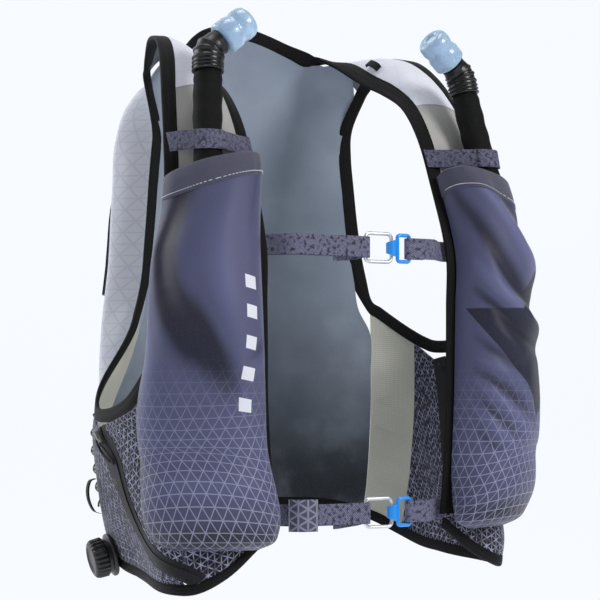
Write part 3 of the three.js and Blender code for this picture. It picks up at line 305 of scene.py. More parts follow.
class Strip:
    """The harness strip from the lower front over the shoulder to the back."""

    def __init__(self) -> None:
        lower = [
            [Body.ring(Side.LEFT, g, -level * DROP) for g in (neck, (neck + outer) / 2, outer)]
            for level, neck, outer in STRIP_LOWER
        ]
        upper = []
        for nx, ny, nz, ox, oy, oz, bulge in STRIP_UPPER:
            neck = vec(nx * HALF_WIDTH, ny * FRONT_DEPTH, nz * DROP)
            outer = vec(ox * HALF_WIDTH, oy * FRONT_DEPTH, oz * DROP)
            upper.append([neck, bulge * HALF_WIDTH, outer])
        upper.append([Body.back(64.0, 16.0), 0.035 * HALF_WIDTH, Body.back(109.0, -18.0)])
        for i, row in enumerate(upper):
            before = upper[i - 1] if i else lower[-1]
            after = upper[min(i + 1, len(upper) - 1)]
            along = after[0] + after[2] - before[0] - before[2]
            out = unit(np.cross(row[2] - row[0], along))
            row[1] = (row[0] + row[2]) / 2 + out * row[1]
        self.rows = np.array(lower + upper)
        self.end = len(self.rows) - 1

    def edges(self, v: np.ndarray) -> np.ndarray:
        """The three guide curves at rows v, centripetal Catmull-Rom through the rows.

        Args:
            v: places along the strip, of any shape.

        Returns:
            Array of shape (*v.shape, 3 curves, 3).
        """
        rows = self.rows
        padded = np.concatenate([[2 * rows[0] - rows[1]], rows, [2 * rows[-1] - rows[-2]]])
        i = np.clip(np.floor(v).astype(int), 0, self.end - 1)
        t = (v - i)[..., None, None]
        p0, p1, p2, p3 = (padded[i + k] for k in range(4))

        def knot(a, b):
            return np.sqrt(np.linalg.norm(a - b, axis=-1, keepdims=True)) + 1e-9

        d0, d1, d2 = knot(p0, p1), knot(p1, p2), knot(p2, p3)
        m1 = ((p1 - p0) / d0 - (p2 - p0) / (d0 + d1) + (p2 - p1) / d1) * d1
        m2 = ((p2 - p1) / d1 - (p3 - p1) / (d1 + d2) + (p3 - p2) / d2) * d1
        c2 = -3 * p1 + 3 * p2 - 2 * m1 - m2
        c3 = 2 * p1 - 2 * p2 + m1 + m2
        return p1 + m1 * t + c2 * t**2 + c3 * t**3

    def base(self, v, w) -> np.ndarray:
        """Surface point: a quadratic across through the three guide curves."""
        v, w = np.broadcast_arrays(np.asarray(v, float), np.asarray(w, float))
        e = self.edges(v)
        w = w[..., None]
        return (e[..., 0, :] * (1 - w) * (1 - 2 * w) + e[..., 1, :] * 4 * w * (1 - w)
                + e[..., 2, :] * w * (2 * w - 1))

    def normal(self, v, w) -> np.ndarray:
        """Outward normal, from the differences along and across."""
        step = 0.02
        v = np.asarray(v, float)
        high, low_ = np.minimum(v + step, self.end), np.maximum(v - step, 0)
        along = self.base(high, w) - self.base(low_, w)
        across = self.base(v, np.asarray(w) + step) - self.base(v, np.asarray(w) - step)
        return unit(np.cross(across, along))

    def point(self, side: Side, v, w, lift=0.0) -> np.ndarray:
        """Point of the strip at a lift outwards, on either side of the wearer."""
        p = self.base(v, w) + self.normal(v, w) * np.asarray(lift, float)[..., None]
        return p * vec(side.value, 1, 1)

    def width(self, v) -> np.ndarray:
        """Straight width of the strip at rows v."""
        return np.linalg.norm(self.base(v, 0.0) - self.base(v, 1.0), axis=-1)

    def row_at(self, z: float, w: float = 0.5) -> float:
        """Row whose point at w lies at level z, by interpolation over the front."""
        v = np.linspace(0, 9.5, 400)
        return float(np.interp(z, self.base(v, w)[:, 2], v))


STRIP = Strip()


def hem_level(side: Side, girth, above: float = 0.0) -> np.ndarray:
    """Level of the lower edge at a girth, moved up by a distance."""
    return -HEM_BACK - HEM_DIP[side] * HEM.read(girth, "dip") + above


def armhole_level(side: Side, girth) -> np.ndarray:
    """Level of the armhole's lower edge at a girth."""
    return -(ARMHOLE_BACK + (ARMHOLE_DROP[side] - ARMHOLE_BACK) * ARMHOLE.read(girth, "fall"))


def beside(line: np.ndarray, offset) -> np.ndarray:
    """A line of (girth, level) moved sideways by a length in millimetres."""
    scaled = line * [GIRTH_MM, 1]
    tangent = unit(np.gradient(scaled, axis=0))
    normal = np.stack([-tangent[:, 1], tangent[:, 0]], -1)
    return (scaled + normal * np.asarray(offset, float)[..., None]) / [GIRTH_MM, 1]


def under_arm(side: Side) -> np.ndarray:
    """Armhole's lower edge as (girth, level) from the strip to the back."""
    outer = 67 + (69 - 67) * (0.52 - 0.4775) / 0.09
    girth = np.array([outer + 3, 78, 84, 90, 96, 102, 108, 114, 120, 126, 130.6])
    return np.stack([girth, armhole_level(side, girth)], -1)


def zip_line(side: Side, count: int = 9) -> np.ndarray:
    """Zip of a hip pocket as (girth, level), from its top down."""
    place = np.linspace(0, 8, count)
    top = float(armhole_level(side, 94)) - TAPE_WIDTH - 4
    bend = float(hem_level(side, 52, HEM_TAPE + 52))
    girth = ZIP_LINE.read(place, side.word)
    fall, sweep = ZIP_LINE.read(place, "fall"), ZIP_LINE.read(place, "sweep")
    return np.stack([girth, top + (bend - top) * fall - sweep], -1)


def drawn_in(points: np.ndarray) -> np.ndarray:
    """The right rear armhole edge drawn towards the spine, beneath the bag's swell.

    The shift is the product of smooth steps of depth, side and level.

    Args:
        points: rows of x, y, z.

    Returns:
        The moved points.
    """
    x, y, z = points[..., 0], points[..., 1], points[..., 2]
    depth = smooth((y - 5) / 65) * (1 - smooth((y - 88) / 30))
    side = smooth((-x - 18) / 72)
    level = smooth((z + 300) / 100) * (1 - 0.5 * smooth((z + 60) / 60))
    return np.stack([x + DRAWN_IN * depth * side * level, y, z], -1)


@dataclass
class Surface:
    """Points with their cloth coordinates, before they become a mesh."""

    verts: np.ndarray
    uv: np.ndarray
    polys: list = field(default_factory=list)

    @staticmethod
    def quads(rows: int, cols: int, wrap_rows: bool, wrap_cols: bool, start: int = 0) -> np.ndarray:
        """Indices of the quads of a grid, either way closed on itself."""
        i = np.arange(rows if wrap_rows else rows - 1)[:, None]
        j = np.arange(cols if wrap_cols else cols - 1)[None, :]
        i2, j2 = (i + 1) % rows, (j + 1) % cols
        cell = [i * cols + j, i2 * cols + j, i2 * cols + j2, i * cols + j2]
        return np.stack([c.ravel() for c in np.broadcast_arrays(*cell)], -1) + start

    @staticmethod
    def coordinates(grid: np.ndarray) -> np.ndarray:
        """Cloth coordinates of a grid: mean lengths across and along it, in metres."""
        across = np.linalg.norm(np.diff(grid, axis=1), axis=-1)
        u = np.concatenate([np.zeros((len(grid), 1)), np.cumsum(across, 1)], 1)
        u -= u[:, -1:] / 2
        along = np.linalg.norm(np.diff(grid, axis=0), axis=-1)
        v = np.concatenate([np.zeros((1, grid.shape[1])), np.cumsum(along, 0)], 0)
        return np.stack([u, np.broadcast_to(v.mean(1, keepdims=True), u.shape)], -1) * MM

    @classmethod
    def slab(cls, outer: np.ndarray, inner: np.ndarray, lined: bool = False) -> "Surface":
        """A closed sheet between two grids; a lined one has its inside 10 m aside in u."""
        rows, cols = outer.shape[:2]
        n = rows * cols
        uv = cls.coordinates(outer).reshape(-1, 2)
        face = cls.quads(rows, cols, False, False)
        top, bottom = np.arange(cols), np.arange(cols) + (rows - 1) * cols
        first, last = np.arange(rows) * cols, np.arange(rows) * cols + cols - 1
        rim = np.concatenate([top, last[1:], bottom[::-1][1:], first[::-1][1:-1]])
        nxt = np.roll(rim, -1)
        edge = np.stack([rim, nxt, nxt + n, rim + n], -1)
        verts = np.concatenate([outer.reshape(-1, 3), inner.reshape(-1, 3)])
        inside = uv + [LINING_SHIFT if lined else 0.0, 0.0]
        return cls(verts, np.concatenate([uv, inside]), [face, face[:, ::-1] + n, edge[:, ::-1]])

    @classmethod
    def loft(cls, sections: np.ndarray, loop: bool = False) -> "Surface":
        """A closed body through sections of equal point counts, capped unless a loop."""
        rows, cols = sections.shape[:2]
        closed = np.concatenate([sections, sections[:, :1]], 1)
        uv = cls.coordinates(closed)[:, :-1].reshape(-1, 2)
        polys = [cls.quads(rows, cols, loop, True)]
        if not loop:
            ring = np.arange(cols)
            polys += [ring[None, ::-1].copy(), ring[None] + (rows - 1) * cols]
        return cls(sections.reshape(-1, 3), uv, polys)

    def joined(self, *others: "Surface") -> "Surface":
        """This surface and others as one."""
        whole = Surface(self.verts, self.uv, list(self.polys))
        for other in others:
            shift = len(whole.verts)
            whole.polys += [p + shift for p in other.polys]
            whole.verts = np.concatenate([whole.verts, other.verts])
            whole.uv = np.concatenate([whole.uv, other.uv])
        return whole

    def volume(self) -> float:
        """Signed volume, by fans from each face's first corner."""
        total = 0.0
        for p in self.polys:
            a = self.verts[p[:, 0]]
            for k in range(1, p.shape[1] - 1):
                b, c = self.verts[p[:, k]], self.verts[p[:, k + 1]]
                total += float(np.einsum("ij,ij->", a, np.cross(b, c)))
        return total

    def outward(self) -> "Surface":
        """The same surface with its faces turned out."""
        if self.volume() < 0:
            self.polys = [p[:, ::-1] for p in self.polys]
        return self

    def mesh(self, name: str, material, sharp: float = 40.0) -> bpy.types.Object:
        """Makes the object, in metres.

        Args:
            name: object name.
            material: its material.
            sharp: degrees above which an edge stays sharp.

        Returns:
            The linked object.
        """
        data = bpy.data.meshes.new(name)
        sizes = np.concatenate([np.full(len(p), p.shape[1]) for p in self.polys])
        loops = np.concatenate([p.ravel() for p in self.polys]).astype(np.int32)
        data.vertices.add(len(self.verts))
        data.vertices.foreach_set("co", (drawn_in(self.verts) * MM).astype(np.float32).ravel())
        data.loops.add(len(loops))
        data.loops.foreach_set("vertex_index", loops)
        data.polygons.add(len(sizes))
        starts = np.concatenate([[0], np.cumsum(sizes)[:-1]]).astype(np.int32)
        data.polygons.foreach_set("loop_start", starts)
        data.update(calc_edges=True)
        data.validate()
        layer = data.uv_layers.new(name="cloth")
        layer.uv.foreach_set("vector", self.uv[loops].astype(np.float32).ravel())
        data.polygons.foreach_set("use_smooth", np.ones(len(sizes), bool))
        data.set_sharp_from_angle(angle=math.radians(sharp))
        data.materials.append(material)
        obj = bpy.data.objects.new(name, data)
        bpy.context.collection.objects.link(obj)
        return obj


def place(surface: Surface, name: str, material, replaces: tuple[str, ...], slot: str,
          body: str = "vest", sharp: float = 40.0) -> bpy.types.Object:
    """Makes a piece and ties it to the frame.

    Args:
        surface: its shape.
        name: object name.
        material: its material.
        replaces: frame nodes it stands for.
        slot: the record's material slot; not used.
        body: the body it rides on.
        sharp: degrees above which an edge stays sharp.

    Returns:
        The object.
    """
    obj = surface.outward().mesh(name, material, sharp)
    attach(obj, body)
    if replaces:
        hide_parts(*replaces)
    return obj


def declare_sheet(obj, grid: np.ndarray, rests_on: tuple[str, ...],
                  flat: tuple[float, float] | None = None) -> None:
    """States a cloth piece: its flat width, length and area, from its outer grid.

    Args:
        obj: the piece.
        grid: its outer points.
        rests_on: names of what holds it; not used.
        flat: width and length in millimetres, where the grid's rows run slanted.
    """
    across = np.linalg.norm(np.diff(grid, axis=1), axis=-1).sum(1).max() * MM
    along = np.linalg.norm(np.diff(grid, axis=0), axis=-1).sum(0).max() * MM
    if flat:
        across, along = flat[0] * MM, flat[1] * MM
    a, b = grid[1:, 1:] - grid[:-1, :-1], grid[1:, :-1] - grid[:-1, 1:]
    area = float(np.linalg.norm(np.cross(a, b), axis=-1).sum() / 2) * MM * MM
    area = min(area, across * along)
    log.info("sheet %s flat %.3f x %.3f m, area %.4f m2", obj.name, across, along, area)


def catmull(points: np.ndarray, count: int, loop: bool = False) -> np.ndarray:
    """Uniform Catmull-Rom curve through rows of any width."""
    points = np.asarray(points, float)
    n = len(points)
    t = np.linspace(0, n if loop else n - 1, count, endpoint=not loop)
    i = np.floor(t).astype(int) if loop else np.clip(np.floor(t).astype(int), 0, n - 2)
    f = (t - i).reshape(-1, *[1] * (points.ndim - 1))

    def at(k):
        return points[(i + k) % n] if loop else points[np.clip(i + k, 0, n - 1)]

    p0, p1, p2, p3 = at(-1), at(0), at(1), at(2)
    if not loop:
        p0 = np.where((i == 0).reshape(f.shape), 2 * p1 - p2, p0)
        p3 = np.where((i == n - 2).reshape(f.shape), 2 * p2 - p1, p3)
    return 0.5 * (2 * p1 + (p2 - p0) * f + (2 * p0 - 5 * p1 + 4 * p2 - p3) * f**2
                  + (3 * p1 - p0 - 3 * p2 + p3) * f**3)


def tube(path: np.ndarray, radii, sides: int = 24, loop: bool = False,
         flat: float = 1.0) -> Surface:
    """A round bar along a path, its frame carried along without twisting."""
    tangent = np.roll(path, -1, 0) - np.roll(path, 1, 0) if loop else np.gradient(path, axis=0)
    tangent = unit(tangent)
    guide = vec(0, 0, 1) if abs(tangent[0, 2]) < 0.8 else vec(0, 1, 0)
    side = unit(np.cross(guide, tangent[0]))
    frames = []
    for t in tangent:
        side = unit(side - t * np.dot(side, t))
        frames.append(side)
    side = np.array(frames)
    up = np.cross(tangent, side)
    angle = np.linspace(0, 2 * np.pi, sides, endpoint=False)
    radii = np.broadcast_to(np.asarray(radii, float), (len(path),))[:, None, None]
    ring = side[:, None] * np.cos(angle)[:, None] + up[:, None] * np.sin(angle)[:, None] * flat
    return Surface.loft(path[:, None] + ring * radii, loop)


def turned(foot: np.ndarray, axis: np.ndarray, steps, sides: int = 48,
           ribs: tuple[int, float] = (0, 0.0)) -> Surface:
    """A turned body; steps are (radius, height, rib share), ribs are count and depth."""
    axis = unit(axis)
    guide = vec(0, 0, 1) if abs(axis[2]) < 0.9 else vec(0, 1, 0)
    side = unit(np.cross(guide, axis))
    up = np.cross(axis, side)
    angle = np.linspace(0, 2 * np.pi, sides, endpoint=False)
    steps = np.array([(*s, 0)[:3] for s in steps], float)
    wave = ribs[1] * (0.5 - 0.5 * np.cos(angle * ribs[0]))
    radius = steps[:, :1] - steps[:, 2:] * wave[None]
    ring = side * np.cos(angle)[:, None] + up * np.sin(angle)[:, None]
    return Surface.loft(foot + axis * steps[:, 1][:, None, None] + ring * radius[..., None])


def ridges(u: np.ndarray, v: np.ndarray, rows) -> np.ndarray:
    """Folds in cloth: each row is a soft ridge along a segment.

    The height falls with the square of the distance to the segment, as a bell.

    Args:
        u: first coordinates.
        v: second coordinates.
        rows: rows of start u, start v, end u, end v, height and width.

    Returns:
        Summed heights.
    """
    total = np.zeros(np.broadcast(u, v).shape)
    for u0, v0, u1, v1, height, width in rows:
        du, dv = u1 - u0, v1 - v0
        t = np.clip(((u - u0) * du + (v - v0) * dv) / (du * du + dv * dv), 0, 1)
        away = np.hypot(u - u0 - t * du, v - v0 - t * dv)
        total += height * np.sin(np.pi * (0.15 + 0.7 * t)) * np.exp(-((away / width) ** 2))
    return total


def ripple(p: np.ndarray, scale: float, seed: int = 0) -> np.ndarray:
    """Gentle unevenness: a sum of sine waves in seeded directions."""
    rng = np.random.default_rng(SEED + seed)
    total = np.zeros(p.shape[:-1])
    for _ in range(7):
        direction = rng.normal(size=3) / scale * rng.uniform(0.5, 1.6)
        total += np.sin(p @ direction + rng.uniform(0, 6.28)) / 7
    return total


Socket = bpy.types.NodeSocket


class Graph:
    """Short hand for building a node tree."""

    def __init__(self, tree: bpy.types.NodeTree) -> None:
        self.tree = tree

    def feed(self, target: Socket, value) -> None:
        """Links a socket to, or sets it to, a value."""
        if isinstance(value, bpy.types.NodeSocket):
            self.tree.links.new(value, target)
        elif value is not None:
            if target.type == "RGBA" and len(value) == 3:
                value = (*value, 1.0)
            target.default_value = value

    def node(self, kind: str, props: dict | None = None, **inputs):
        """A node with its properties and inputs, by name with _ for a space."""
        made = self.tree.nodes.new(kind)
        for key, value in (props or {}).items():
            setattr(made, key, value)
        for key, value in inputs.items():
            self.feed(made.inputs[key.replace("_", " ")], value)
        return made

    def math(self, operation: str, *values, clamp: bool = False) -> Socket:
        """A math node's output."""
        made = self.node("ShaderNodeMath", {"operation": operation, "use_clamp": clamp})
        for socket, value in zip(made.inputs, values):
            self.feed(socket, value)
        return made.outputs[0]

    def vector(self, operation: str, *values, out: int = 0) -> Socket:
        """A vector math node's output."""
        made = self.node("ShaderNodeVectorMath", {"operation": operation})
        for socket, value in zip(made.inputs, values):
            self.feed(socket, value)
        return made.outputs[out]

    def ramp(self, value, low, high, to_low=0.0, to_high=1.0) -> Socket:
        """A smooth ramp of a value between two places."""
        made = self.node("ShaderNodeMapRange", {"interpolation_type": "SMOOTHSTEP"})
        for socket, number in zip(made.inputs, (value, low, high, to_low, to_high)):
            self.feed(socket, number)
        return made.outputs[0]

    def mix(self, factor, a, b, blend: str = "MIX") -> Socket:
        """Two colours mixed."""
        made = self.node("ShaderNodeMix", {"data_type": "RGBA", "blend_type": blend})
        self.feed(made.inputs[0], factor)
        self.feed(made.inputs[6], a)
        self.feed(made.inputs[7], b)
        return made.outputs[2]

    def noise(self, vector, scale: float, detail: float = 3.0) -> Socket:
        """Noise value at a vector."""
        made = self.node("ShaderNodeTexNoise", None, Vector=vector, Scale=scale, Detail=detail)
        return made.outputs[0]

    def split(self, vector) -> tuple:
        """The three numbers of a vector."""
        return tuple(self.node("ShaderNodeSeparateXYZ", None, Vector=vector).outputs)

    def group(self, tree: bpy.types.NodeTree, **inputs):
        """A shared group with its inputs, by name with _ for a space."""
        made = self.node("ShaderNodeGroup")
        made.node_tree = tree
        for key, value in inputs.items():
            self.feed(made.inputs[key.replace("_", " ")], value)
        return made


def new_group(name: str, inputs, outputs) -> tuple:
    """A shared node group, its graph, its input sockets and its output node."""
    tree = bpy.data.node_groups.new(name, "ShaderNodeTree")
    for label, kind, default in inputs:
        made = tree.interface.new_socket(label, in_out="INPUT", socket_type=kind)
        if default is not None:
            made.default_value = default
    for label, kind in outputs:
        tree.interface.new_socket(label, in_out="OUTPUT", socket_type=kind)
    entry = tree.nodes.new("NodeGroupInput")
    leave = tree.nodes.new("NodeGroupOutput")
    return tree, Graph(tree), entry.outputs, leave.inputs


FLOAT, VECTOR, COLOR = "NodeSocketFloat", "NodeSocketVector", "NodeSocketColor"


def triangle_net() -> bpy.types.NodeTree:
    """Thin lines in three directions: for each, the distance to the nearest line."""
    tree, g, given, out = new_group(
        "Triangle net",
        [("Vector", VECTOR, None), ("Cell", FLOAT, 0.01), ("Line", FLOAT, 0.0005)],
        [("Mask", FLOAT)],
    )
    masks = []
    high = g.math("MULTIPLY", given["Cell"], 0.866)
    for angle in (0, 60, 120):
        turn = math.radians(angle)
        along = g.vector("DOT_PRODUCT", given["Vector"], (math.sin(turn), math.cos(turn), 0), out=1)
        away = g.math("PINGPONG", along, g.math("MULTIPLY", high, 0.5))
        soft = g.math("MULTIPLY", given["Line"], 1.5)
        masks.append(g.ramp(away, g.math("MULTIPLY", given["Line"], 0.3), soft, 1.0, 0.0))
    both = g.math("MAXIMUM", masks[0], masks[1])
    g.feed(out["Mask"], g.math("MAXIMUM", both, masks[2]))
    return tree


def weave() -> bpy.types.NodeTree:
    """Plain weave: two crossed waves of threads, higher where one passes over."""
    tree, g, given, out = new_group(
        "Weave", [("Vector", VECTOR, None), ("Thread", FLOAT, 0.0008)], [("Height", FLOAT)]
    )
    x, y, _ = g.split(given["Vector"])
    turn = g.math("DIVIDE", 6.2832, given["Thread"])
    wave_x = g.math("SINE", g.math("MULTIPLY", x, turn))
    wave_y = g.math("SINE", g.math("MULTIPLY", y, turn))
    g.feed(out["Height"], g.math("MULTIPLY_ADD", g.math("MULTIPLY", wave_x, wave_y), 0.5, 0.5))
    return tree


def hex_net() -> bpy.types.NodeTree:
    """Open mesh: the sum of three cosines is high in the middle of each hole."""
    tree, g, given, out = new_group(
        "Hex net",
        [("Vector", VECTOR, None), ("Cell", FLOAT, 0.003), ("Open", FLOAT, 0.6)],
        [("Thread", FLOAT)],
    )
    turn = g.math("DIVIDE", 7.2552, given["Cell"])
    total = 0.0
    for angle in (0, 60, 120):
        a = math.radians(angle)
        along = g.vector("DOT_PRODUCT", given["Vector"], (math.cos(a), math.sin(a), 0), out=1)
        total = g.math("ADD", total, g.math("COSINE", g.math("MULTIPLY", along, turn)))
    g.feed(out["Thread"], g.ramp(total, given["Open"], g.math("ADD", given["Open"], 0.5), 1.0, 0.0))
    return tree


def stitch_row() -> bpy.types.NodeTree:
    """A row of stitches: a band across, cut into dashes along."""
    tree, g, given, out = new_group(
        "Stitch row",
        [("Along", FLOAT, 0), ("Across", FLOAT, 0), ("Line", FLOAT, 0), ("Pitch", FLOAT, 0.003),
         ("Width", FLOAT, 0.0008)],
        [("Mask", FLOAT)],
    )
    away = g.math("ABSOLUTE", g.math("SUBTRACT", given["Across"], given["Line"]))
    band = g.ramp(away, g.math("MULTIPLY", given["Width"], 0.35), given["Width"], 1.0, 0.0)
    step = g.math("FRACT", g.math("DIVIDE", given["Along"], given["Pitch"]))
    dash = g.ramp(g.math("ABSOLUTE", g.math("SUBTRACT", step, 0.5)), 0.3, 0.4, 1.0, 0.0)
    g.feed(out["Mask"], g.math("MULTIPLY", band, dash))
    return tree


def tone() -> bpy.types.NodeTree:
    """Uneven dye and wear: broad clouds darken, fine grain lightens."""
    tree, g, given, out = new_group(
        "Cloth tone",
        [("Vector", VECTOR, None), ("Base", COLOR, (0.5, 0.5, 0.5, 1)), ("Clouds", FLOAT, 0.15),
         ("Grain", FLOAT, 0.08)],
        [("Color", COLOR)],
    )
    broad = g.ramp(g.noise(given["Vector"], 16, 2), 0.3, 0.7)
    fine = g.noise(given["Vector"], 900, 2)
    dark = g.mix(1.0, given["Base"], (0.45, 0.46, 0.5), "MULTIPLY")
    first = g.mix(g.math("MULTIPLY", broad, given["Clouds"]), given["Base"], dark)
    light = g.mix(1.0, first, (0.25, 0.25, 0.26), "ADD")
    lift = g.math("MULTIPLY", g.ramp(fine, 0.45, 0.75), given["Grain"])
    g.feed(out["Color"], g.mix(lift, first, light))
    return tree


NET, WEAVE, HEX, STITCH, TONE = triangle_net(), weave(), hex_net(), stitch_row(), tone()


def srgb(code: str) -> tuple[float, float, float]:
    """Linear colour of a hex code."""
    parts = [int(code[i:i + 2], 16) / 255 for i in (0, 2, 4)]
    return tuple(p / 12.92 if p <= 0.04045 else ((p + 0.055) / 1.055) ** 2.4 for p in parts)


@dataclass(frozen=True)
class ClothFinish:
    """Look of a cloth.

    Attributes:
        base: hex colour.
        roughness: of the surface.
        thread: size of the weave in metres.
        relief: depth of the weave in metres.
        sheen: soft light at grazing angles.
        clouds: strength of the uneven dye.
        grain: strength of the fine grain.
    """

    base: str
    roughness: float = 0.7
    thread: float = 0.0009
    relief: float = 0.00012
    sheen: float = 0.25
    clouds: float = 0.2
    grain: float = 0.1


@dataclass(frozen=True)
class HardFinish:
    """Look of a moulded or metal piece."""

    base: str
    roughness: float = 0.4
    metallic: float = 0.0
    coat: float = 0.0
    transmission: float = 0.0
    scatter: float = 0.0
    grain: float = 0.00004


class Paint:
    """One material under construction, with its cloth coordinates at hand."""

    def __init__(self, name: str) -> None:
        self.material = bpy.data.materials.new(name)
        self.material.use_nodes = True
        self.g = Graph(self.material.node_tree)
        nodes = self.material.node_tree.nodes
        self.shader = nodes["Principled BSDF"]
        self.output = nodes["Material Output"]
        self.uv = self.g.node("ShaderNodeUVMap", {"uv_map": "cloth"}).outputs[0]
        self.u, self.v, _ = self.g.split(self.uv)
        self.object = self.g.node("ShaderNodeTexCoord").outputs["Object"]
        self.x, self.y, self.z = self.g.split(self.object)

    def bump(self, height, distance: float, under=None, strength: float = 1.0) -> Socket:
        """A bump of a height, over another."""
        made = self.g.node("ShaderNodeBump", None, Height=height, Distance=distance,
                           Strength=strength)
        if under is not None:
            self.g.feed(made.inputs["Normal"], under)
        return made.outputs[0]

    def cloth(self, finish: ClothFinish, color=None, relief=None) -> "Paint":
        """Sets the cloth shading, from a finish and an optional own colour."""
        g, s = self.g, self.shader
        given = color if color is not None else srgb(finish.base)
        toned = g.group(TONE, Vector=self.object, Base=given, Clouds=finish.clouds,
                        Grain=finish.grain)
        woven = g.group(WEAVE, Vector=self.uv, Thread=finish.thread).outputs[0]
        g.feed(s.inputs["Base Color"], toned.outputs[0])
        g.feed(s.inputs["Roughness"], finish.roughness)
        g.feed(s.inputs["Sheen Weight"], finish.sheen)
        g.feed(s.inputs["Specular IOR Level"], 0.2)
        g.feed(s.inputs["Sheen Roughness"], 0.4)
        normal = self.bump(woven, finish.relief)
        if relief is not None:
            normal = self.bump(relief, 0.0004, normal)
        g.feed(s.inputs["Normal"], normal)
        return self

    def hard(self, finish: HardFinish) -> "Paint":
        """Sets the shading of a moulded or metal piece."""
        g, s = self.g, self.shader
        grain = g.noise(self.object, 700, 3)
        smudge = g.ramp(g.noise(self.object, 60, 2), 0.35, 0.7)
        g.feed(s.inputs["Base Color"], srgb(finish.base))
        g.feed(s.inputs["Roughness"], g.math("MULTIPLY_ADD", smudge, 0.12, finish.roughness))
        g.feed(s.inputs["Metallic"], finish.metallic)
        g.feed(s.inputs["Coat Weight"], finish.coat)
        g.feed(s.inputs["Transmission Weight"], finish.transmission)
        g.feed(s.inputs["Subsurface Weight"], finish.scatter)
        g.feed(s.inputs["Subsurface Radius"], (0.01, 0.015, 0.02))
        g.feed(s.inputs["Normal"], self.bump(grain, finish.grain))
        return self

    def open_where(self, thread) -> "Paint":
        """Lets light through where the thread mask is 0."""
        g = self.g
        clear = g.node("ShaderNodeBsdfTransparent").outputs[0]
        mixed = g.node("ShaderNodeMixShader", None, Fac=thread)
        g.feed(mixed.inputs[1], clear)
        g.feed(mixed.inputs[2], self.shader.outputs[0])
        g.feed(self.output.inputs[0], mixed.outputs[0])
        return self


